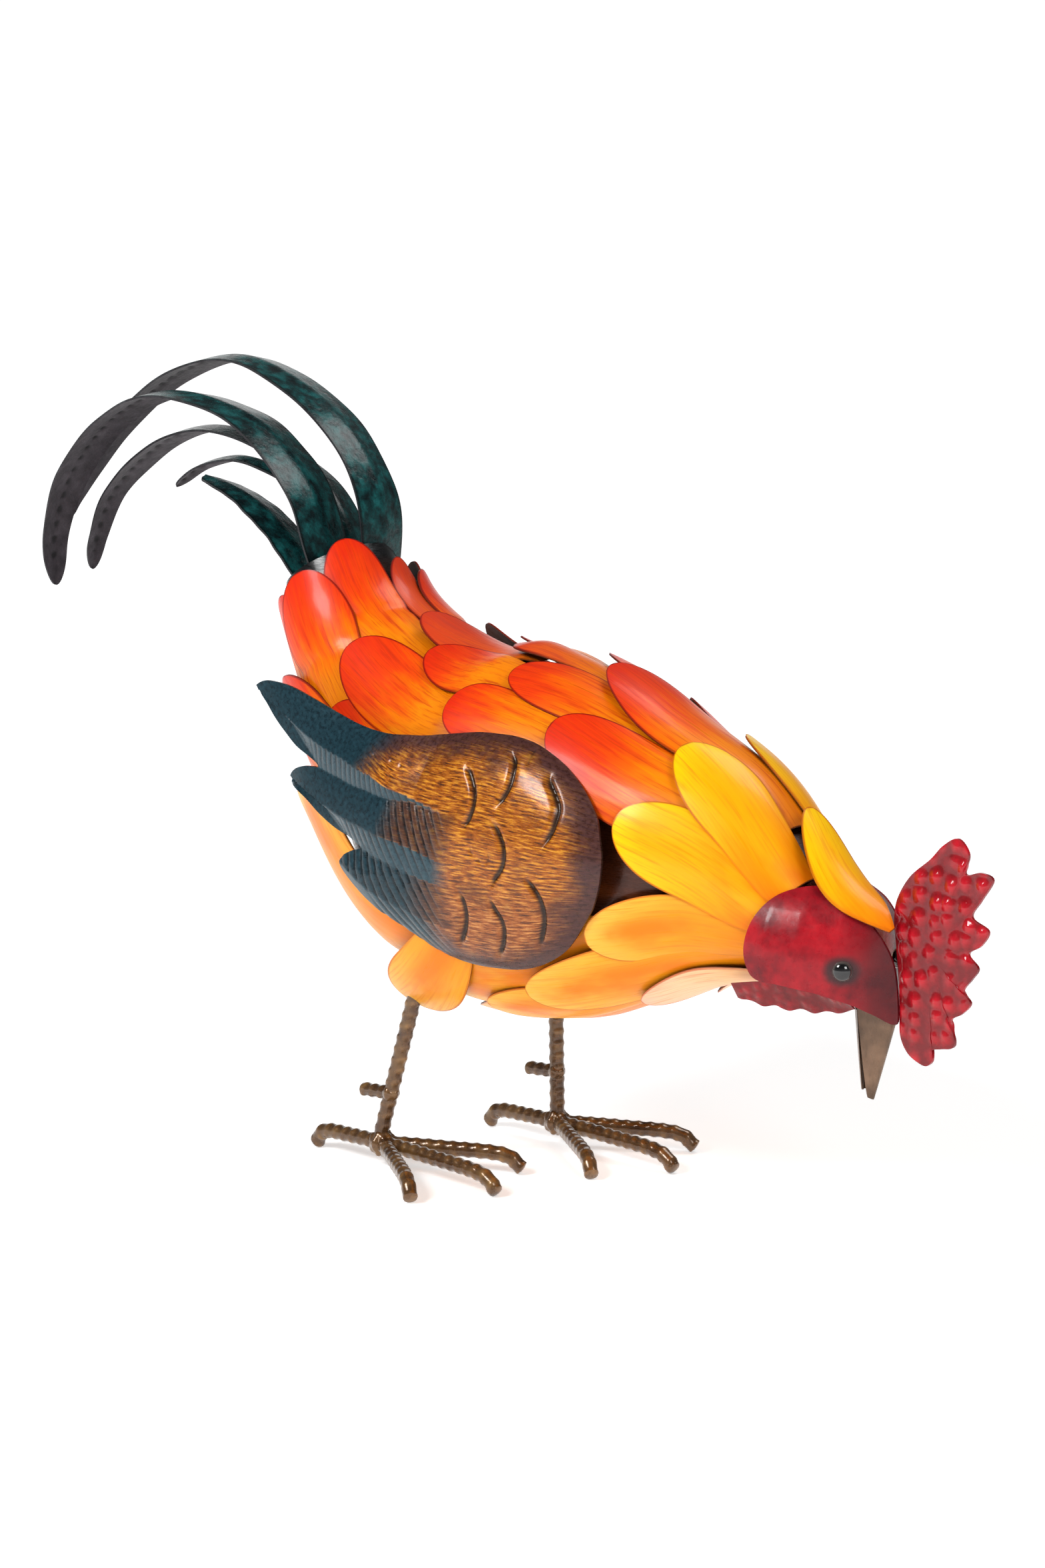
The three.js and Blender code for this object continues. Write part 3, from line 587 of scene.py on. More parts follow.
def plume_paint():
    """Blue-green gloss, mottled nearly black, over a back of bare purple-grey primer."""
    tree = Tree("plume paint", coat_roughness=0.2, gloss=0.22)
    seed = tree.mark("seed")
    mottle = tree.noise(tree.flat(170, 120, seed), 1.0, 5, 0.6)
    fine = tree.noise(tree.flat(700, 260, seed), 1.0, 4, 0.6)
    front = tree.ramp(mottle, [(0.36, "061618"), (0.48, "0b2e2f"), (0.58, "104444"), (0.7, "1a5656")])
    front = tree.mix(tree.range(fine, 0.55, 0.8, 0, 0.6), front, "040d0e")
    front = tree.mix(tree.range(tree.mark("rim"), 0.4, 1.6, 0.85, 0.0), front, "050c0d")
    back = tree.ramp(mottle, [(0.3, "231e22"), (0.55, "342e33"), (0.8, "443e43")])
    back = tree.mix(tree.range(tree.mark("punch"), 0.1, 0.8, 0, 0.9), back, "080708")
    base = tree.mix(tree.mark("face"), back, front)
    rough = tree.math("MULTIPLY_ADD", tree.mark("face"), -0.26, tree.range(fine, 0.3, 0.7, 0.46, 0.58))
    tree.links.new(tree.math("MULTIPLY", tree.mark("face"), 0.15), tree.shader.inputs["Coat Weight"])
    normal = tree.bump(mottle, 0.4, 0.0015, tree.bump(fine, 0.15, 0.0004))
    return tree.finish(base, rough, normal)


plume_finish = plume_paint()
print("plume finish:", plume_finish.name)

# %% Bend the plumes
PLATE = 1.2
CREASE = 2.5
CREASE_ROUND = 0.004       # rounds the fold: it is a square root with this much added
CREASE_SEAT = 0.2
PLUME_ROOT = 0.14          # share of the length that is squeezed into the socket
SOCKET_SQUEEZE = 0.45
PLUME_TAPER = 0.6
TIP_ROUND = 0.045
PUNCH_PITCH = 9.0
PUNCH_LONG = 2.2
PUNCH_WIDE = 1.9
PUNCH_DEPTH = 0.9
PUNCH_FROM = 0.45
PUNCH_TO = 0.97
# Across the bird, width, and the path in the middle plane from the socket to the tip
PLUMES = {
    "plume_tallest": dict(y=12, width=28, path=[
        (-76, 268), (-73, 296), (-79, 331), (-106, 364), (-151, 388), (-195, 396), (-249, 382),
        (-299, 350), (-333, 316), (-340, 302)]),
    "plume_near": dict(y=-13, width=31, path=[
        (-88, 268), (-88, 294), (-99, 326), (-122, 350), (-157, 369), (-216, 377), (-264, 362),
        (-302, 331), (-320, 296), (-321, 266)]),
    "plume_middle": dict(y=11, width=24, path=[
        (-92, 266), (-93, 294), (-110, 324), (-137, 342), (-174, 355), (-214, 358), (-255, 347),
        (-296, 320), (-313, 293), (-319, 274)]),
    "plume_short": dict(y=12, width=16, path=[
        (-99, 266), (-106, 300), (-126, 326), (-157, 338), (-188, 343), (-220, 337), (-243, 325)]),
    "plume_low": dict(y=-13, width=25, path=[
        (-93, 262), (-98, 284), (-110, 298), (-129, 313), (-149, 324), (-167, 330), (-187, 334)]),
}


def add_plume(name, y, width, path, seed):
    """A folded strip along a path. Half width = width / 2 x (1 - taper t^4), narrower in the
    socket, with a slow wobble, and round over the last stretch. The sides lie back from the
    fold by the crease times the way to the edge. A punch mark is a bell curve both ways."""
    line = smooth_line(np.array(path, float), 60)
    run = run_of(line)
    length = run[-1]
    t = rows_to_tip(0.94, 150, 14)
    centre = np.stack([np.interp(t * length, run, line[:, k]) for k in (0, 1)], -1)
    ahead = np.gradient(centre, t, axis=0)
    ahead /= np.linalg.norm(ahead, axis=1, keepdims=True)
    t, outward = t[:, None], np.stack([ahead[:, 1], np.zeros(len(t)), -ahead[:, 0]], -1)[:, None]
    v = columns_across(29)
    socket = np.clip(1 - t / PLUME_ROOT, 0, 1) ** 2
    taper = (1 - PLUME_TAPER * t ** 4) * (1 - SOCKET_SQUEEZE * socket)
    tip = np.sqrt(np.clip(1 - (np.clip(t - 1 + TIP_ROUND, 0, 1) / TIP_ROUND) ** 2, 0, 1))
    wobble = 1 + 0.03 * np.sin(23 * t + seed) + 0.02 * np.sin(51 * t + 2 * seed)
    half = width / 2 * taper * wobble * tip
    aside = y * (1 - 0.5 * socket) + half * v
    centre = np.stack([centre[:, 0], np.zeros(len(t)), centre[:, 1]], -1)[:, None]
    from_punch = ((t * length / PUNCH_PITCH) % 1 - 0.5) * PUNCH_PITCH
    punch = np.exp(-((from_punch / PUNCH_LONG) ** 2) - (half * v / PUNCH_WIDE) ** 2)
    punch = punch * (t > PUNCH_FROM) * (t < PUNCH_TO)
    fold = -CREASE * np.sqrt(v ** 2 + CREASE_ROUND) * taper - CREASE_SEAT
    spread = centre + aside[..., None] * [0, 1, 0]
    top = spread + outward * fold[..., None]
    back = spread + outward * (fold - PLATE + PUNCH_DEPTH * punch)[..., None]
    flat = np.stack(np.broadcast_arrays(half * v, t * length), -1)
    rim = half * (1 - np.abs(v))
    add_sheet(name.replace("plume", "strip"), top, back, plume_finish, "plume", [name], flat,
              rim=rim, punch=punch, seed=seed)
    return length


for number, (name, spec) in enumerate(PLUMES.items()):
    plume_length = add_plume(name, **spec, seed=1.7 * number)
    print(name, "is", round(plume_length), "mm long")

# %% [markdown]
# ## Wings
#
# Each wing is one pressed plate. The press gives it a dome, wavy grooves, and three
# fingers, each a low roof with barbs along it. The outline is drawn on the skin and then
# filled with an even mesh of triangles. Rings that shrink to a middle would be simpler,
# but they bunch up in the notches between the fingers, and the barbs would turn ragged.

# %% Lines of the wing
# All of them are [length, clock] on the skin. The outline starts at the tip of the top finger
DEGREE = 1.5               # millimetres on the wing for one degree of the clock, near enough
WING_OUTLINE = [
    (55.3, 98.0), (54.9, 95.5), (56.4, 92.0), (59.8, 88.7), (65.6, 84.6), (72, 81.2), (80.7, 77.9),
    (92, 74.4), (104, 71.5), (116, 68.8), (129, 65.9), (145, 62.6), (160, 59.6), (176, 57.2),
    (189, 55.1), (203, 53.3), (215, 51.8), (227, 50.8), (237, 50), (247, 49.9), (255, 50.8),
    (264, 52.6), (271, 54.9), (278, 58.2), (284, 62.4), (289, 67.3), (292, 73.4), (294.6, 80.6),
    (295, 87.4), (294, 94), (291, 101), (286, 107), (280, 113), (273, 118), (263, 121.7),
    (253, 123.7), (242, 124.6), (231, 124.7), (220.5, 124.2), (211, 122.9), (202, 120.8),
    (194, 118.2), (187, 115.5), (181, 113.3), (174, 111.5), (168, 109.6), (162, 107.9),
    (156, 106.5), (152, 105.3), (151, 103.6), (152.4, 101.1), (155.4, 98.7), (159.5, 96.4),
    (158, 95.6), (151, 96), (140.5, 97.9), (128.5, 100), (117.6, 102), (108.7, 103.8),
    (103.6, 103.9), (101.4, 102.3), (102.1, 99.1), (105.5, 95.4), (110.4, 92.1), (113.4, 90.5),
    (111, 90.2), (105, 91.4), (94.6, 93.8), (84.5, 95.1), (74, 96.5), (65.2, 97.4), (58.4, 98.5)]
# Ridges of the three fingers, from the top one down, and the valleys between them
RIDGES = [
    [(57, 97), (72, 92), (84, 89), (107, 84), (127, 79), (154, 75), (181, 75), (207, 77)],
    [(103, 103), (117, 99), (127, 96), (144, 92), (161, 89), (181, 88), (197, 89), (212, 91)],
    [(152, 104), (159, 104), (169, 105), (179, 106), (189, 107), (202, 109), (214, 110)]]
VALLEYS = [
    [(114, 90), (130, 85), (152, 80), (170, 78), (189, 76.5), (207, 78)],
    [(159, 96), (176, 95), (189, 96), (203, 97), (217, 98)]]
GROOVES = [
    [(218.6, 63.4), (223.5, 66.2), (227.4, 69.8), (228.7, 73.5), (227.6, 77.5), (225.1, 80.6)],
    [(240.2, 55.9), (244, 58.5), (245.8, 62.1), (246.2, 65.9), (244.5, 69.5), (242.4, 72.6)],
    [(240.9, 76.9), (245.2, 79.7), (248.5, 83.2), (249.3, 87.1), (247.8, 90.2), (244.6, 93.1),
     (242.8, 95.6)],
    [(262.9, 58.3), (264.1, 60.7), (269.1, 64.5), (272.4, 68), (272.8, 72), (272, 76.1), (268.9, 81.2)],
    [(223.5, 98.6), (225.7, 101.4), (226.3, 105.4), (223.6, 110.5), (218.1, 115.3)],
    [(240.9, 98.8), (243.5, 102), (246.6, 105.3), (247, 108.9), (244.2, 113.5), (238.6, 118.2)],
    [(260.6, 90.8), (264.4, 93.6), (268.1, 97.4), (269.4, 102.1), (267.9, 107.6), (262.9, 114.7)]]
# Small tool marks beside the grooves
TICKS = [
    [(250, 51.6), (250.1, 54.3), (251.1, 58.6)], [(230.2, 85.2), (231.2, 86.6), (232.5, 87.5)],
    [(235.2, 87.6), (236.3, 88.8), (237.4, 89.3)], [(240.8, 86), (241.5, 87.6), (240, 89.1)],
    [(145.2, 70.1), (147.3, 70.2), (148.7, 70.4)], [(161.2, 68.2), (162.8, 68.4), (163.9, 68.6)],
    [(170.7, 67.9), (172.1, 68.2), (173.1, 68.4)]]
print("ridges, grooves and tool marks on a wing:", len(RIDGES), len(GROOVES), len(TICKS))

# %% Measure and fill an outline
TRIANGLE_ROW = 0.87        # rows of equal-sided triangles are this share of a side apart
CLEAR_OF_RIM = 0.6         # no inner corner is nearer to the rim than this share of a side


def spaced(line, step):
    """The same line with points `step` apart along it."""
    run = run_of(line)
    places = np.linspace(0, run[-1], max(4, int(run[-1] / step)))
    return np.stack([np.interp(places, run, column) for column in line.T], -1)


def smooth_step(value, low, high):
    """0 below low, 1 above high, and 3t^2 - 2t^3 between."""
    t = np.clip((value - low) / (high - low), 0, 1)
    return t * t * (3 - 2 * t)


def distance(place, line):
    """From each place to the nearest point of a finely spaced line, in parts to save memory."""
    nearest = [((part[:, None] - line) ** 2).sum(-1).min(1) for part in np.array_split(place, 40)]
    return np.sqrt(np.concatenate(nearest))


def pressed(place, lines, width):
    """How far the press sinks each place: bell curves of the distance to lines, thin at their ends."""
    depth = np.zeros(len(place))
    for points in lines:
        line = spaced(smooth_line(np.array(points, float) * [1, DEGREE], 10), 0.7)
        full = np.clip(2 * np.sin(np.pi * np.linspace(0.03, 0.97, len(line))), 0, 1)
        apart = ((place[:, None] - line) ** 2).sum(-1)
        depth = np.maximum(depth, (full * np.exp(-apart / width ** 2)).max(1))
    return depth


def inside(place, loop):
    """Even-odd rule: a place is inside if a ray from it crosses the loop an odd number of times."""
    x, y = place.T
    odd = np.zeros(len(place), bool)
    for (x0, y0), (x1, y1) in zip(loop, np.roll(loop, -1, 0)):
        if y0 != y1:
            odd ^= ((y0 > y) != (y1 > y)) & (x < x0 + (y - y0) * (x1 - x0) / (y1 - y0))
    return odd


def filled(loop, step):
    """An even triangle mesh inside a loop: its corners, the loop's own corners first."""
    low, high = loop.min(0), loop.max(0)
    columns, rows = np.arange(low[0], high[0], step), np.arange(low[1], high[1], step * TRIANGLE_ROW)
    x, y = np.meshgrid(columns, rows, indexing="ij")
    x = x + step / 2 * (np.arange(x.shape[1]) % 2)
    grid = np.stack([x, y], -1).reshape(-1, 2)
    grid = grid[inside(grid, loop)]
    grid = grid[distance(grid, loop) > CLEAR_OF_RIM * step]
    corners = [Vector(p) for p in np.concatenate([loop, grid]).tolist()]
    rim = [(k, (k + 1) % len(loop)) for k in range(len(loop))]
    out = delaunay_2d_cdt(corners, rim, [], 1, 1e-7)
    return np.array([tuple(p) for p in out[0]]), np.array(out[2])


def closed_outline(points, step):
    """A closed smooth outline through points, as evenly spaced points. Two points before the
    start and three after the end give the smooth line its slopes there."""
    points = np.array(points, float)
    line = smooth_line(np.vstack([points[-2:], points, points[:3]]), 12)
    return spaced(line[24:24 + 12 * len(points) + 1], step)[:-1]


WING_STEP = 0.8
loop = closed_outline(np.array(WING_OUTLINE) * [1, DEGREE], WING_STEP)
place, triangles = filled(loop, WING_STEP)
print("corners of a wing face:", len(place), "triangles:", len(triangles))

# %% [markdown]
# ## The press
#
# Such a plate is pressed between two dies. That could be sculpted with a brush, or carved
# with booleans, but here the height of the plate is a sum: stand-off, dome and finger
# roofs, less the grooves and barbs. The same marks then tell the paint where it is.

# %% Press the wing
WING_STAND_OFF = 12.4
WING_DOME = 5
DOME_REACH = 24            # the dome rises over this way in from the rim
WING_FLARE = 0.16
FLARE_START = 190
FINGER_RIDGE = 3.2         # height of a finger's roof
FINGER_HALF = 14           # degrees that the outer fingers reach past their ridges
GROOVE_DEPTH = 1.9
GROOVE_WIDTH = 1.5
TICK_DEPTH = 0.5
TICK_WIDTH = 0.8
BARB_PITCH = 5.2
BARB_START = 10            # each barb grows to full depth over this length
BARB_DEPTH = (0.8, 0.5)    # on the upper and the lower half of each finger
BARB_LEAN = 1.07           # length along the body that a barb runs back for each degree down
# Lengths along the spine over which a form starts or fades
DOME_START = (120, 215)
ROOF_FADE = (160, 214)
BARB_FADE = (200, 218)
# Painted shade on the upper halves of the lower two fingers, under the finger above
VALLEY_SHADE_START = (140, 170)
VALLEY_SHADE_FADE = (205, 224)
# The same for the six bands from the top down: an upper and a lower half for each finger
BARB_FROM = np.array([400, 96, 166, 140, 146, 168])
BLUE_END = np.array([134, 196, 168, 206, 188, 196])
GOLD_START = np.array([164, 216, 186, 222, 208, 218])


def finger_bands(s, clock):
    """Each place's band between a ridge and a valley, 0 at the top, and how far across it is."""
    ridges = [np.interp(s, *np.array(line, float).T) for line in RIDGES]
    valleys = [np.interp(s, *np.array(line, float).T) for line in VALLEYS]
    top, bottom = ridges[0] - FINGER_HALF, ridges[2] + FINGER_HALF
    edges = np.stack([top, ridges[0], valleys[0], ridges[1], valleys[1], ridges[2], bottom])
    edges = np.maximum.accumulate(edges, 0)
    band = (clock > edges[1:-1]).sum(0)
    low, high = (np.take_along_axis(edges, band[None] + k, 0)[0] for k in (0, 1))
    return band, np.clip((clock - low) / np.maximum(high - low, 1e-6), 0, 1)


s, clock = place[:, 0], place[:, 1] / DEGREE
edge = distance(place, spaced(np.vstack([loop, loop[:1]]), WING_STEP / 2))
band, across = finger_bands(s, clock)
lower_half = band % 2
roof = np.where(lower_half == 1, 1 - across, across) * (1 - smooth_step(s, *ROOF_FADE))
barb_from = BARB_FROM[band]
barbs = smooth_step(s, barb_from, barb_from + BARB_START) * (1 - smooth_step(s, *BARB_FADE))
wave = np.clip(np.cos(2 * np.pi * (s - BARB_LEAN * clock) / BARB_PITCH), 0, 1) ** 1.5
barb = barbs * (1 - 0.5 * lower_half * across) * wave
groove = pressed(place, GROOVES, GROOVE_WIDTH)
tick = pressed(place, TICKS, TICK_WIDTH)
dome = WING_DOME * (1 - (1 - np.clip(edge / DOME_REACH, 0, 1)) ** 2) * smooth_step(s, *DOME_START)
height = WING_STAND_OFF + WING_FLARE * np.clip(FLARE_START - s, 0, None) + dome + FINGER_RIDGE * roof
height = height - GROOVE_DEPTH * groove - TICK_DEPTH * tick - np.array(BARB_DEPTH)[lower_half] * barb
blue = 1 - smooth_step(s, BLUE_END[band], GOLD_START[band])
# Painted shade: a dark band on the upper halves of the lower two fingers, below each valley
upper_bands = (band == 2) | (band == 4)
painted_valley_shade = np.where(upper_bands, smooth_step(s, *VALLEY_SHADE_START) * (1 - smooth_step(s, *VALLEY_SHADE_FADE)), 0)
wing_marks = dict(blue=blue, lower=lower_half * 1.0, edge=edge, groove=groove + 0.6 * tick, barb=barb,
                  painted_valley_shade=painted_valley_shade, clock=clock)
print("height of the wing over the skin:", height.min().round(1), "to", height.max().round(1), "mm")

# %% Wing paint and both wings


def wing_paint():
    """Gold wiped over brown, purple at the rim; blue-black fingers whose lower halves are
    painted paler as a painted reflection of the paper; painted shade in the grooves, the tool
    marks and the barb dents, and on the upper halves of the lower two fingers under the
    finger above. The marks say where a point is on the pressed plate."""
    tree = Tree("wing paint", roughness=0.3, metallic=0.1, coat=0.3, coat_roughness=0.14, gloss=0.25)
    weave = tree.noise(tree.flat(110, 1100), 1.0, 4, 0.65)
    patch = tree.noise(tree.flat(50, 70), 1.0, 4, 0.6)
    hammer = tree.noise(tree.flat(420, 500), 1.0, 3, 0.6)
    gold = tree.ramp(weave, [(0.36, "442006"), (0.5, "9c500a"), (0.64, "d8922a")])
    copper = tree.ramp(weave, [(0.36, "46220e"), (0.5, "924e24"), (0.64, "c48450")])
    base = tree.mix(tree.range(tree.mark("clock"), 88, 108, 0, 0.75), gold, copper)
    base = tree.mix(tree.range(patch, 0.48, 0.72, 0, 0.65), base, "54280e")
    rim = tree.ramp(hammer, [(0.3, "2a1414"), (0.7, "4c2c2c")])
    inward = tree.math("MULTIPLY_ADD", tree.math("SUBTRACT", patch, 0.5), -16.0, tree.mark("edge"))
    base = tree.mix(tree.range(inward, 4.0, 19.0, 0.95, 0.0), base, rim)
    # Painted shade under the finger above
    base = tree.mix(tree.math("MULTIPLY", tree.mark("painted_valley_shade"), 0.85), base, "33231f")
    # The lower half of each finger is painted paler: a painted reflection of the white paper below
    dark = tree.ramp(hammer, [(0.3, "0a1e26"), (0.55, "12303a"), (0.8, "1c404c")])
    pale = tree.ramp(hammer, [(0.3, "162e38"), (0.55, "223e48"), (0.8, "34545e")])
    base = tree.mix(tree.mark("blue"), base, tree.mix(tree.mark("lower"), dark, pale))
    # Painted shade in the barb dents
    base = tree.mix(tree.range(tree.mark("barb"), 0.15, 0.8, 0, 0.8), base, "0c1418")
    # Painted shade in the pressed grooves and tool marks
    base = tree.mix(tree.range(tree.mark("groove"), 0.2, 0.8, 0, 0.92), base, "160e08")
    base = tree.mix(tree.mark("face"), "2a1c14", base)
    normal = tree.bump(weave, 0.22, 0.0005, tree.bump(patch, 0.2, 0.002))
    return tree.finish(base, tree.range(hammer, 0.3, 0.7, 0.24, 0.38), normal)


def add_plate(name, outer, inner, triangles, rim_count, finish, slot, nodes, flat, **marks):
    """A closed plate from two faces over one triangle mesh, whose first corners are the rim."""
    count = len(outer)
    k = np.arange(rim_count)
    after = (k + 1) % rim_count
    upper, lower = np.stack([k, after, after + count], 1), np.stack([k, after + count, k + count], 1)
    cells = np.concatenate([triangles, triangles[:, ::-1] + count, upper, lower])
    marks = {mark: np.tile(values, 2) for mark, values in marks.items()}
    marks["face"] = np.repeat([1.0, 0.0], count)
    points = np.concatenate([outer, inner])
    return add_piece(name, points, cells, finish, slot, nodes, np.tile(flat, (2, 1)), **marks)


wing_finish = wing_paint()
outer, inner = skin(s, clock, height), skin(s, clock, height - PLATE)
for side, turn in (("right", 1), ("left", -1)):
    wing = add_plate(f"pressed_wing_{side}", outer * [1, turn, 1], inner * [1, turn, 1], triangles,
                     len(loop), wing_finish, "wing", [f"wing_{side}"], place, **wing_marks)
    print(wing.name, "has", len(wing.data.polygons), "faces")

# %% [markdown]
# ## Cheeks
#
# Two pressed cheeks close over the neck like a clam. A ball could be squashed into a
# head, but the real one has a seam with a sharp edge. So the cheek's depth is a function
# of its place on the side view, and its outline can be drawn flat, as it is cut.

# %% Cheeks
CHEEK_OUTLINE = [
    (237, 172), (226, 168), (219, 158), (216, 145), (217, 135), (221, 130), (232, 129), (245, 127),
    (258, 123), (267, 118), (275, 113), (275, 128), (273, 143), (267, 156), (258, 165), (248, 170)]
CHEEK_MIDDLE = np.array([247, 147])
# Half the head's width at each x
CHEEK_WIDTHS = np.array([(200, 38), (215, 38), (226, 37), (240, 32), (256, 22), (267, 12), (275, 2.2)])
HEAD_BACK = 205            # x where the slanting middle line is HEAD_LEVEL high
HEAD_LEVEL = 146
HEAD_SLANT = 18 / 80       # its fall for each millimetre forward
HEAD_HALF = 38
# Painted shade: the front of the head darkens towards the seam over these metres
SEAM_PAINTED_SHADE = (0.262, 0.279)        # metres ahead of the origin over which the seam darkens
EYE_SMOKE = (0.0045, 0.0085)       # metres from the middle of the eye over which the smoke thins
EYE = dict(x=258, z=137, radius=4.7, depth=3.2, turn=np.radians(38), sink=0.8)


def cheek_depth(x, z):
    """Half the head's width: a table along x times an ellipse about a slanting middle line."""
    middle = HEAD_LEVEL - (x - HEAD_BACK) * HEAD_SLANT
    ellipse = np.sqrt(np.clip(1 - ((z - middle) / HEAD_HALF) ** 2, 0.05, 1))
    return np.interp(x, *CHEEK_WIDTHS.T) * ellipse


def head_paint():
    """Dark red gloss, mottled with wiped-off black, with painted shade darkening it towards the
    front seam, and with a smoky ring about the eye."""
    tree = Tree("head paint", roughness=0.32, coat=0.2, coat_roughness=0.12, gloss=0.2)
    mottle = tree.noise(tree.place(), 55, 7, 0.62)
    fine = tree.noise(tree.place(), 420, 3)
    base = tree.ramp(mottle, [(0.34, "5a0612"), (0.46, "820c18"), (0.56, "9c121e"), (0.72, "b81c26")])
    base = tree.mix(tree.range(fine, 0.6, 0.85, 0, 0.3), base, "3c0a10")
    place = tree.place()
    # Painted shade: the front of the head is darkened towards the seam
    ahead = tree.add("ShaderNodeSeparateXYZ", {0: place}).outputs[0]
    pushed = tree.math("MULTIPLY_ADD", tree.math("SUBTRACT", mottle, 0.5), 0.02, ahead)
    base = tree.mix(tree.range(pushed, *SEAM_PAINTED_SHADE, 0, 0.75), base, "2c070c")
    side_view = tree.add("ShaderNodeVectorMath", {0: place, 1: (1, 0, 1)}, operation="MULTIPLY")
    centre = ((EYE["x"] + GROUND_SHIFT) * MM, 0, EYE["z"] * MM)
    from_eye = tree.add("ShaderNodeVectorMath", {0: side_view.outputs["Vector"], 1: centre},
                        operation="DISTANCE").outputs["Value"]
    base = tree.mix(tree.range(from_eye, *EYE_SMOKE, 0.85, 0), base, "2a2224")
    return tree.finish(base, tree.range(fine, 0.3, 0.7, 0.26, 0.4), tree.bump(mottle, 0.3, 0.0012))


head_finish = head_paint()
outline = closed_outline(CHEEK_OUTLINE, 1.5)
u = np.sin(np.linspace(0, np.pi / 2, 36))[:, None, None]
place = CHEEK_MIDDLE + (outline - CHEEK_MIDDLE) * u
depth = cheek_depth(place[..., 0], place[..., 1])
for side, turn in (("right", -1), ("left", 1)):
    outer = np.stack([place[..., 0], turn * depth, place[..., 1]], -1)
    inner = np.stack([place[..., 0], turn * (depth - PLATE), place[..., 1]], -1)
    add_sheet(f"pressed_cheek_{side}", outer, inner, head_finish, "head", [f"cheek_{side}"], wrap=True)
print("widest half of the head:", depth.max().round(1), "mm")

# %% [markdown]
# ## Eyes
#
# Each eye is a dark glossy dome, sunk a little into the cheek and turned with it. A plain
# sphere would bulge too far. So its circles are squashed along one axis before they are
# turned.

# %% Eyes


def eye_paint():
    """Polished black with a smoky ring where the paint was masked."""
    tree = Tree("eye paint", roughness=0.06, coat=1.0, coat_roughness=0.03)
    haze = tree.noise(tree.place(), 500, 2)
    base = tree.ramp(haze, [(0.3, "030304"), (0.8, "101013")])
    halo = tree.math("MULTIPLY", tree.range(tree.mark("ring"), 0.70, 0.95), 0.8)
    return tree.finish(tree.mix(halo, base, "5a5450"), tree.range(haze, 0.3, 0.7, 0.04, 0.1))


def bead(centre, radii, turn=0.0, rows=24, columns=36):
    """A flattened ball: latitude and longitude circles, turned about the upright axis, and
    how near each point is to its widest circle."""
    tilt = np.linspace(0, np.pi, rows)[:, None]
    angle = np.linspace(0, 2 * np.pi, columns, endpoint=False)[None]
    x, z = radii[0] * np.sin(tilt) * np.cos(angle), radii[2] * np.sin(tilt) * np.sin(angle)
    y = radii[1] * np.cos(tilt) * np.ones_like(angle)
    turned = [x * np.cos(turn) - y * np.sin(turn), x * np.sin(turn) + y * np.cos(turn), z]
    return np.stack(turned, -1) + centre, np.sin(tilt) * np.ones_like(angle)


eye_finish = eye_paint()
eye_y = EYE["sink"] - cheek_depth(EYE["x"], EYE["z"])
eye_radii = (EYE["radius"], EYE["depth"], EYE["radius"])
ball, ring = bead([EYE["x"], eye_y, EYE["z"]], eye_radii, EYE["turn"])
eye_cells = grid_cells(*ball.shape[:2], True)
for side, turn in (("right", 1), ("left", -1)):
    add_piece(f"eye_dome_{side}", (ball * [1, turn, 1]).reshape(-1, 3), eye_cells, eye_finish,
              "eye", [f"eye_{side}"], ring=ring.ravel())
print("eyes stand", round(-eye_y, 1), "mm from the middle plane")

# %% [markdown]
# ## Comb
#
# The comb is a flat plate with seven teeth that stands in the seam, beaten all over with a
# round hammer. Real beating could be a noise texture, but the bumps catch so much light
# that they have to be in the shape. So each cell of a shaken grid holds one bump.

# %% Comb
COMB_OUTLINE = [
    (306, 200), (298, 196), (291, 189), (280, 180), (273, 169), (271.5, 159), (272.5, 151),
    (273.5, 143), (274.5, 134), (275, 126), (275.5, 118), (276, 108), (280, 101), (286, 97.5),
    (291, 96.6), (294.3, 99.7), (293.5, 104), (299, 105.6), (305, 107), (306.5, 110.5), (304, 119),
    (310, 123), (314.7, 128.5), (310.5, 133.2), (315, 139), (318.4, 144.5), (313, 150),
    (319.6, 154.6), (323.5, 161.7), (314.5, 166.5), (319, 174), (325.4, 184.1), (318.8, 186.7),
    (310.5, 185), (312, 193.8)]
COMB_MIDDLE = np.array([292, 148])
COMB_EDGE = 0.7            # half the thickness at the edge
COMB_SWELL = 1.6           # what the middle adds to it
BUMP_HEIGHT = 1.9
BUMP_PITCH = 8.8
BUMP_LEVEL = 0.3           # the plate lies this share of a bump's height up
BUMP_FADE = 0.12           # share of the way from the edge over which the bumps start


def shaken(value):
    """A number from 0 to 1 that looks random: what a large sine leaves after its point."""
    return np.modf(np.abs(np.sin(value) * 4375.85))[0]


def hammered(x, z, pitch, seed):
    """Round bumps on a shaken grid: each cell holds one bump, moved by a sine hash of the
    cell's number, and the height is the largest bell curve of the nine nearest."""
    column, row = np.floor(x / pitch), np.floor(z / pitch)
    height = np.zeros_like(x)
    for i in (-1, 0, 1):
        for j in (-1, 0, 1):
            c, r = column + i, row + j
            aside, up, size = (shaken(c * 12.99 + r * 78.23 + k + seed) for k in (0, 3.1, 5.7))
            apart = np.hypot(x - (c + 0.2 + 0.6 * aside) * pitch, z - (r + 0.2 + 0.6 * up) * pitch)
            bell = np.exp(-(apart / (0.34 * pitch)) ** 2)
            height = np.maximum(height, (0.45 + 0.55 * size) * bell)
    return height


def comb_paint():
    """Bright crimson gloss on the bumps, with painted shade darkening the hollows between them."""
    tree = Tree("comb paint", roughness=0.2, coat=0.6, coat_roughness=0.04, gloss=0.12)
    fine = tree.noise(tree.place(), 260, 4)
    # Painted shade: darker crimson in the hollows between the bumps
    lifted = tree.math("MULTIPLY_ADD", tree.math("SUBTRACT", fine, 0.5), 0.7, tree.mark("bumps"))
    base = tree.ramp(lifted, [(0.0, "70060e"), (0.3, "960c18"), (0.7, "b41422")])
    return tree.finish(base, tree.range(fine, 0.3, 0.7, 0.12, 0.24), tree.bump(fine, 0.35, 0.0008))


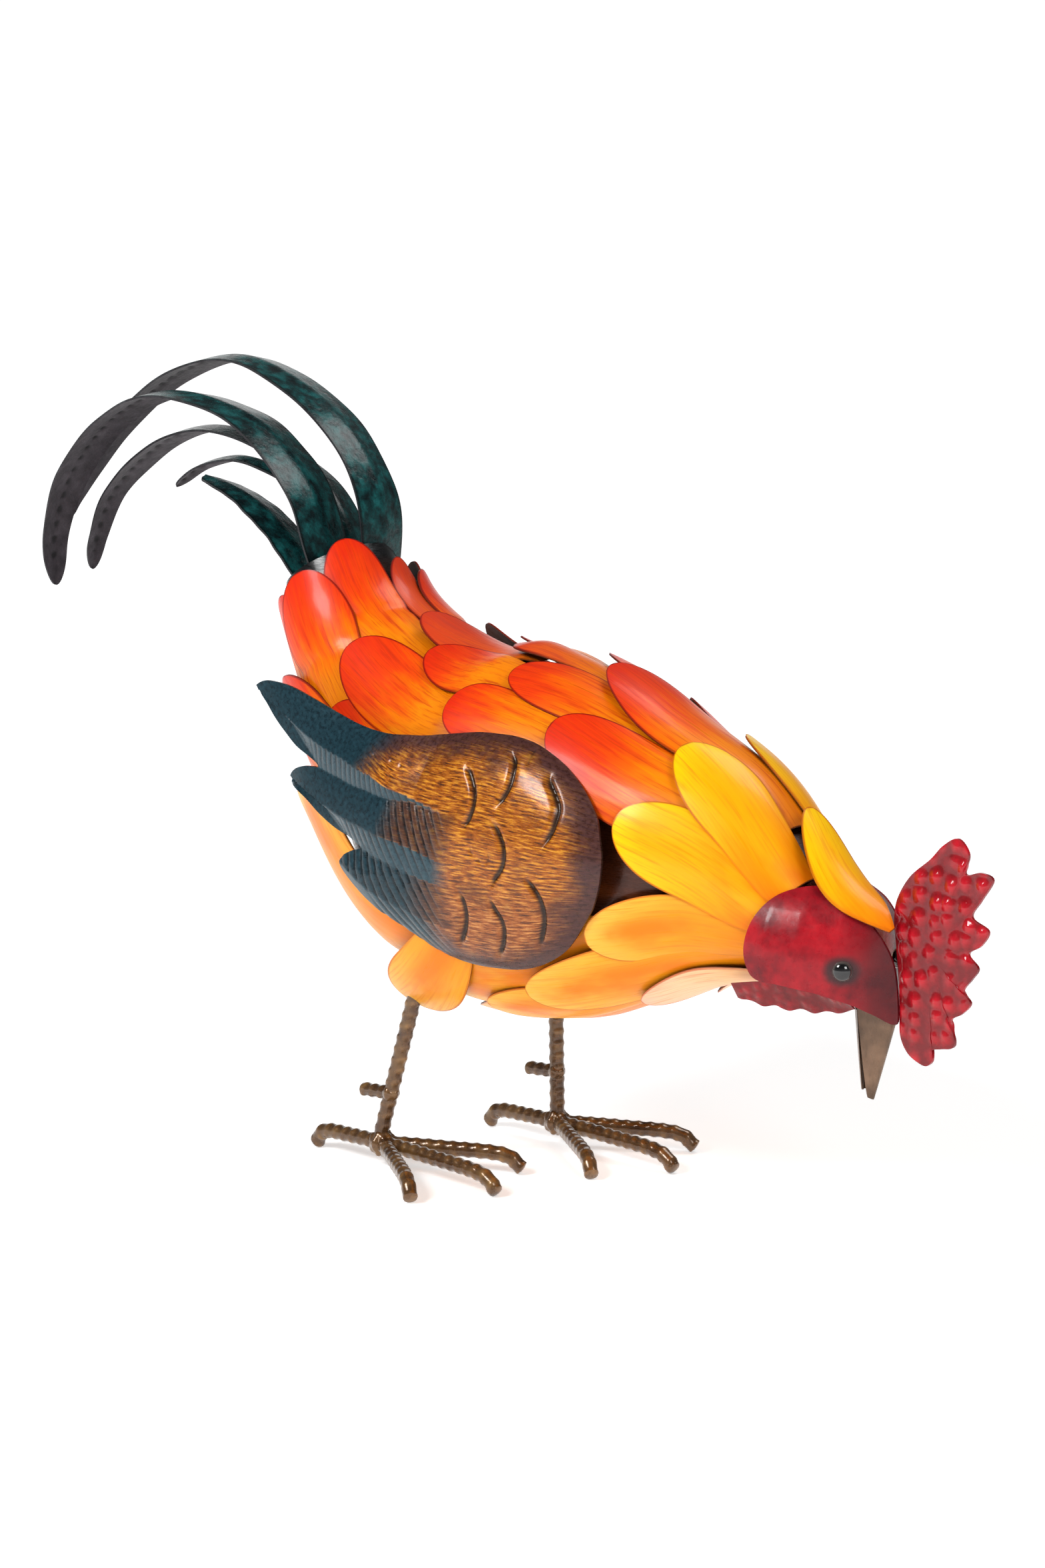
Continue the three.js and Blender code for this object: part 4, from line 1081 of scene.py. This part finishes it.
comb_finish = comb_paint()
outline = closed_outline(COMB_OUTLINE, 1.0)
u = (1 - (1 - np.linspace(0, 1, 60)) ** 1.3)[:, None, None]
place = COMB_MIDDLE + (outline - COMB_MIDDLE) * u
x, z, u = place[..., 0], place[..., 1], u[..., 0]
bumps = hammered(x, z, BUMP_PITCH, 0.4)
beaten = BUMP_HEIGHT * (bumps - BUMP_LEVEL) * np.clip((1 - u) / BUMP_FADE, 0, 1)
half = COMB_EDGE + COMB_SWELL * (1 - u ** 3) + beaten
add_sheet("bumpy_comb", np.stack([x, -half, z], -1), np.stack([x, half, z], -1), comb_finish, "comb",
          ["comb"], wrap=True, bumps=bumps)
print("comb thickness:", (2 * half).min().round(1), "to", (2 * half).max().round(1), "mm")

# %% [markdown]
# ## Wattles
#
# A scalloped flap hangs under each cheek, beaten and painted like the comb. Cloth would
# fold too softly. It's a strip of metal, so one edge follows the cheek and the drop from
# it is half a sine wave with small scallops.

# %% Wattles
WATTLE_BACK = 197
WATTLE_LONG = 61
WATTLE_TOP = 123
WATTLE_ARCH = 4
WATTLE_DROP = 13
SCALLOP = 0.06
WATTLE_PITCH = 5.6


def wattle_face(depth):
    """A flap under the cheek, with a scalloped lower edge and a bumpy skin. It leans inwards
    to the front and outwards to its top."""
    t, v = np.linspace(0, 1, 90)[:, None], np.linspace(0, 1, 22)[None]
    x = WATTLE_BACK + WATTLE_LONG * t
    top = WATTLE_TOP + WATTLE_ARCH * np.sin(np.pi * t)
    hang = np.sin(np.pi * (0.12 + 0.82 * t)) ** 0.6
    drop = WATTLE_DROP * hang * (1 + SCALLOP * np.cos(9 * np.pi * t))
    bumps = hammered(x + 0 * v, drop * v, WATTLE_PITCH, 2.2)
    y = -(25 - 9 * t - 5 * v) + depth - 0.7 * bumps
    return np.stack(np.broadcast_arrays(x, y, top - drop * v), -1), bumps


outer, bumps = wattle_face(0)
inner, _ = wattle_face(PLATE)
# The wattles share the comb's finish and its painted shade between the bumps
for side, turn in (("right", 1), ("left", -1)):
    add_sheet(f"scalloped_wattle_{side}", outer * [1, turn, 1], inner * [1, turn, 1], comb_finish, "comb",
              [f"wattle_{side}"], bumps=bumps * 0.4)
print("wattles drop to", outer[..., 2].min().round(1), "mm over the floor")

# %% [markdown]
# ## Beak
#
# The beak is two scraps of sheet, each folded along its middle and cut to a point. A plain
# cone would lose the fold and the gap between the scraps. So each sheet runs from its fold
# to its two edges, and both lines narrow towards the tip.

# %% Beak
BEAK_TIP = 2               # half the width that is left at the tip
# Fold at the root and the tip, edge at the root and the tip, all (x, z), and half the width
BEAKS = {
    "beak_upper": ((274, 117), (261, 76), (258, 119), (259, 77), 9),
    "beak_lower": ((250, 118), (254, 80), (255.5, 117), (256, 80), 6),
}


def beak_paint():
    """Plain brown lacquer, a little cloudy."""
    tree = Tree("beak paint", roughness=0.3, metallic=0.3, coat=0.3)
    cloud = tree.noise(tree.place(), 60, 4)
    fine = tree.noise(tree.place((1, 1, 0.3)), 420, 3)
    base = tree.ramp(cloud, [(0.3, "4c3828"), (0.55, "6e5440"), (0.8, "8a6c54")])
    base = tree.mix(tree.range(fine, 0.55, 0.8, 0, 0.35), base, "3a2a1c")
    return tree.finish(base, tree.range(fine, 0.3, 0.7, 0.24, 0.38), tree.bump(cloud, 0.3, 0.001))


def beak_face(fold_root, fold_tip, edge_root, edge_tip, spread, depth):
    """A folded sheet: from the fold (0) to its two edges (-1 and 1), narrowing to the tip."""
    t, v = np.linspace(0, 1, 30)[:, None], np.linspace(-1, 1, 25)[None]
    wide = np.abs(v)
    fold = [a + (b - a) * t for a, b in zip(fold_root, fold_tip)]
    edge = [a + (b - a) * t for a, b in zip(edge_root, edge_tip)]
    x, z = [f + (e - f) * wide ** 1.3 for f, e in zip(fold, edge)]
    x = x - depth * (1 - wide) * np.sign(fold_root[0] - edge_root[0])
    half = BEAK_TIP + (spread - BEAK_TIP) * (1 - t) ** 0.8
    return np.stack(np.broadcast_arrays(x, (half * wide ** 0.7 - depth * wide) * np.sign(v), z), -1)


beak_finish = beak_paint()
for name, spec in BEAKS.items():
    add_sheet(f"folded_{name}", beak_face(*spec, 0), beak_face(*spec, PLATE), beak_finish, "beak", [name])
print("beak scraps:", list(BEAKS))

# %% [markdown]
# ## Legs and feet
#
# Reinforcing bar is round with slanting ribs. So the bar is a circle carried along a
# path, and its radius swells in a wave that slants round the bar. Ribs made as separate
# rings would leave a hard edge at each one. Blobs of weld join the toes.

# %% Ribbed bar
BAR_RADIUS = 4
RIB_HEIGHT = 0.45
RIB_PITCH = 6.2
END_ROUND = 1.2            # length over which the end of a bar is rounded
BAR_STEP = 0.55


def bar_paint():
    """Bronze lacquer, lighter on the ribs and darker between them."""
    tree = Tree("bar paint", roughness=0.28, metallic=0.35, coat=0.5, gloss=0.5)
    cloud = tree.noise(tree.place(), 110, 5)
    base = tree.ramp(cloud, [(0.3, "4a2e18"), (0.5, "70502e"), (0.75, "94703e")])
    base = tree.mix(tree.range(tree.mark("rib"), 0.0, 0.7, 0.45, 0.0), base, "3a2412")
    return tree.finish(base, tree.range(cloud, 0.3, 0.7, 0.2, 0.36), tree.bump(cloud, 0.3, 0.0008))


def bar_grid(path, radius, seed=0.0):
    """Rings round a path. Radius = core + rib, where the rib is a bell-shaped wave along the
    bar whose phase slants with the angle round it."""
    path = spaced(smooth_line(np.array(path, float), 24), BAR_STEP)
    run = run_of(path)[:, None]
    along = np.gradient(path, axis=0)
    along /= np.linalg.norm(along, axis=1, keepdims=True)
    level = np.hypot(along[:, 0], along[:, 1])[:, None]
    side = np.where(level < 0.2, [0, 1, 0], np.stack([-along[:, 1], along[:, 0], 0 * along[:, 0]], -1))
    side /= np.linalg.norm(side, axis=1, keepdims=True)
    up = np.cross(along, side)
    angle = np.linspace(0, 2 * np.pi, 28, endpoint=False)[None]
    wave = np.cos(2 * np.pi * run / RIB_PITCH + 1.1 * np.sin(angle) + seed)
    rib = np.clip(0.5 + 0.5 * wave, 0, 1) ** 1.6 * np.clip(1.2 - np.abs(np.cos(angle)) ** 6, 0, 1)
    end = np.minimum(run, run[-1] - run)
    rounded = np.sqrt(np.clip(1 - np.clip(1 - end / END_ROUND, 0, 1) ** 2, 0, 1))
    size = (radius - RIB_HEIGHT + RIB_HEIGHT * rib) * (0.35 + 0.65 * rounded)
    outward = np.cos(angle)[..., None] * side[:, None] + np.sin(angle)[..., None] * up[:, None]
    rings = path[:, None] + size[..., None] * outward
    caps = [np.broadcast_to(path[k], (1,) + rings.shape[1:]) for k in (0, -1)]
    return np.concatenate([caps[0], rings, caps[1]]), np.concatenate([rib[:1], rib, rib[-1:]])


bar_finish = bar_paint()
print("rings in 100 mm of bar:", len(bar_grid([(0, 0, 0), (0, 0, 100)], BAR_RADIUS)[0]) - 2)

# %% Weld the legs and the feet
FOOT_BEARINGS = (-31.5, 0, 31.5, 180)
TOE_LENGTHS = (72, 82, 72, 50)
# The middle of each foot on the floor, and the top of the leg inside the thigh
LEGS = {"right": ((-16, -45.5), (8, -42, 100)), "left": ((16, 45.5), (15, 45, 100))}
WELD_HEIGHT = 11.6
WELD_RADIUS = 7
ANKLE_RISE = 7.5
LEG_SINK = 3               # the leg's bar starts this far down in the weld
SPUR = dict(height=37.8, length=21, drop=1.5, radius=3.6, weld=4.6)
# Share of a toe's length and its height there: nearly level, then a bend down to the tip
TOE_LINE = ((0, WELD_HEIGHT), (0.45, 11), (0.86, 9.5))
TIP_SINK = 1.0             # a rounded tip sits this much lower than a square one


def weld_blob(centre, radius):
    """A weld blob: a ball whose radius wanders with a few slow waves, painted half like a rib."""
    ball, widest = bead([0, 0, 0], (radius, radius, radius))
    wander = 1 + 0.05 * np.sin(ball[..., :1] * 1.3 + 1) + 0.05 * np.cos(ball[..., 1:2] * 1.7) - 0.04
    return ball * wander + centre, np.full(widest.shape, 0.5)


def add_bars(name, bars, node):
    """Several bars and weld blobs in one piece, each a closed skin of its own."""
    points, cells, ribs, start = [], [], [], 0
    for grid, rib in bars:
        points.append(grid.reshape(-1, 3))
        ribs.append(rib.ravel())
        cells.append(grid_cells(*grid.shape[:2], True) + start)
        start += grid.shape[0] * grid.shape[1]
    return add_piece(name, np.concatenate(points), np.concatenate(cells), bar_finish, "bar", [node],
                     rib=np.concatenate(ribs))


def toe(foot, bearing, length):
    """A bar from the weld along its bearing, bent down so that its tip rests on the floor."""
    aim = np.array([np.cos(np.radians(bearing)), np.sin(np.radians(bearing))]) * length
    bend, bend_height = TOE_LINE[-1]
    slope = np.arctan2(bend_height - BAR_RADIUS, (1 - bend) * length)
    line = [*TOE_LINE, (1, BAR_RADIUS * np.cos(slope) - TIP_SINK)]
    return bar_grid([(*(np.array(foot) + aim * t), height) for t, height in line], BAR_RADIUS, bearing)


for side, (foot, knee) in LEGS.items():
    ankle, top = np.array([*foot, WELD_HEIGHT + ANKLE_RISE]), np.array(knee, float)
    spur_root = ankle + (top - ankle) * (SPUR["height"] - ankle[2]) / (top[2] - ankle[2])
    spur_tip = spur_root + [-SPUR["length"], 0, -SPUR["drop"]]
    shank = bar_grid([ankle - [0, 0, LEG_SINK], ankle, top], BAR_RADIUS)
    spur = bar_grid([spur_root, spur_tip], SPUR["radius"])
    add_bars(f"leg_{side}", [shank, spur, weld_blob(spur_root, SPUR["weld"])], f"{side}_leg")
    toes = [toe(foot, bearing, length) for bearing, length in zip(FOOT_BEARINGS, TOE_LENGTHS)]
    add_bars(f"foot_{side}", [*toes, weld_blob((*foot, WELD_HEIGHT), WELD_RADIUS)], f"{side}_foot")
    print(side, "leg stands at", foot, "with", len(toes), "toes")

# %% [markdown]
# ## Studio
#
# The photograph is a catalogue picture on bright white paper, with gentle shadows. A
# white room all round would wash the paint out. So the room is dim, with one bright patch
# of backdrop behind the bird and paper that glows on its own. Three square lamps shape
# the metal: the key lamp on the right flank, one before the face, and one above and behind.

# %% Room and paper
PAPER_GLOW = (0.5, 1.0)    # the paper's own light: near the bird, and far away
PAPER_FADE = (0.5, 2.2)    # metres from the middle over which the glow changes
FLOOR_REACH = 60.0         # metres, far past the horizon of the picture
BACKDROP = (-0.713, 0.701, 0.0)    # the way from the camera to the white backdrop
BACKDROP_EDGE = (0.85, 0.97)       # cosines of the angles from it where the patch starts and is full
BACKDROP_LIGHT = 1.05
ROOM_LIGHT = (0.34, 0.12)  # light of the rest of the room near the horizon, and higher up
ROOM_LEVELS = (0.12, 0.4)  # sines of the two heights between which it changes
WHITE = (1, 1, 1, 1)


def add_room():
    """A dim room with a white backdrop behind the bird, so that the paint keeps its depth
    while the lamps give the shapes their light and shade."""
    world = bpy.data.worlds.new("paper room")
    world.use_nodes = True
    nodes, links = world.node_tree.nodes, world.node_tree.links
    way = nodes.new("ShaderNodeTexCoord").outputs["Generated"]

    def smooth(value, numbers):
        """A smooth change between two values, as the four numbers say."""
        node = nodes.new("ShaderNodeMapRange")
        node.interpolation_type = "SMOOTHSTEP"
        for socket, number in zip(node.inputs[1:5], numbers):
            socket.default_value = number
        links.new(value, node.inputs[0])
        return node.outputs[0]

    split = nodes.new("ShaderNodeSeparateXYZ")
    links.new(way, split.inputs[0])
    facing = nodes.new("ShaderNodeVectorMath")
    facing.operation = "DOT_PRODUCT"
    facing.inputs[1].default_value = BACKDROP
    links.new(way, facing.inputs[0])
    brighter = nodes.new("ShaderNodeMath")
    brighter.operation = "MAXIMUM"
    links.new(smooth(split.outputs[2], (*ROOM_LEVELS, *ROOM_LIGHT)), brighter.inputs[0])
    backdrop = smooth(facing.outputs["Value"], (*BACKDROP_EDGE, 0.0, BACKDROP_LIGHT))
    links.new(backdrop, brighter.inputs[1])
    links.new(brighter.outputs[0], nodes["Background"].inputs["Strength"])
    nodes["Background"].inputs["Color"].default_value = WHITE
    bpy.context.scene.world = world


def add_floor():
    """One large square of paper that glows more the further it is from the bird."""
    x, y = np.meshgrid([-FLOOR_REACH, FLOOR_REACH], [-FLOOR_REACH, FLOOR_REACH])
    mesh = bpy.data.meshes.new("floor")
    mesh.from_pydata(np.stack([x, y, 0 * x], -1).reshape(-1, 3).tolist(), [], [(0, 1, 3, 2)])
    tree = Tree("floor paper", roughness=0.9, coat=0.0)
    paper = tree.noise(tree.place(), 3.0, 2)
    tree.shader.inputs["Emission Color"].default_value = WHITE
    away = tree.add("ShaderNodeVectorMath", {0: tree.place()}, operation="LENGTH").outputs["Value"]
    tree.links.new(tree.range(away, *PAPER_FADE, *PAPER_GLOW), tree.shader.inputs["Emission Strength"])
    mesh.materials.append(tree.finish(tree.ramp(paper, [(0.3, "f1f1f1"), (0.7, "f4f4f4")])))
    floor = bpy.data.objects.new("floor", mesh)
    bpy.context.collection.objects.link(floor)


add_room()
add_floor()
bpy.context.scene.view_settings.view_transform = "Standard"
print("room:", bpy.context.scene.world.name)

# %% Lamps and camera
MIDDLE = (0.0, 0.0, 0.2)
# Place in metres, width in metres and power in watts
LAMPS = {
    "key lamp": ((-0.1, -1.5, 1.35), 0.6, 27),
    "face lamp": ((1.9, -0.7, 1.1), 0.7, 14),
    "back lamp": ((0.3, 0.9, 2.0), 0.9, 14),
}
CAMERA_PLACE = np.array([1212.2, -1154.8, 457.0])
CAMERA_TARGET = np.array([18.2, 18.5, 189.0])
CAMERA_LENS = 78.57
CAMERA_SENSOR = 36


def aim(thing, place, target):
    """Stand a lamp or a camera at a place, turned to a target, in metres."""
    thing.location = place
    thing.rotation_euler = (Vector(target) - Vector(place)).to_track_quat("-Z", "Y").to_euler()


def add_lamp(name, place, width, power):
    """A square soft lamp that shines on the middle of the bird."""
    light = bpy.data.lights.new(name, "AREA")
    light.shape = "RECTANGLE"
    light.size, light.size_y = width, width
    light.energy = power
    lamp = bpy.data.objects.new(name, light)
    bpy.context.collection.objects.link(lamp)
    aim(lamp, place, MIDDLE)


for name, spec in LAMPS.items():
    add_lamp(name, *spec)
lens = bpy.data.cameras.new("camera")
lens.sensor_width = CAMERA_SENSOR
lens.lens = CAMERA_LENS
camera = bpy.data.objects.new("camera", lens)
bpy.context.collection.objects.link(camera)
shift = np.array([GROUND_SHIFT, 0, 0])
aim(camera, ((CAMERA_PLACE + shift) * MM).tolist(), ((CAMERA_TARGET + shift) * MM).tolist())
bpy.context.scene.camera = camera
print("lamps:", list(LAMPS), "camera at", [round(part, 3) for part in camera.location])
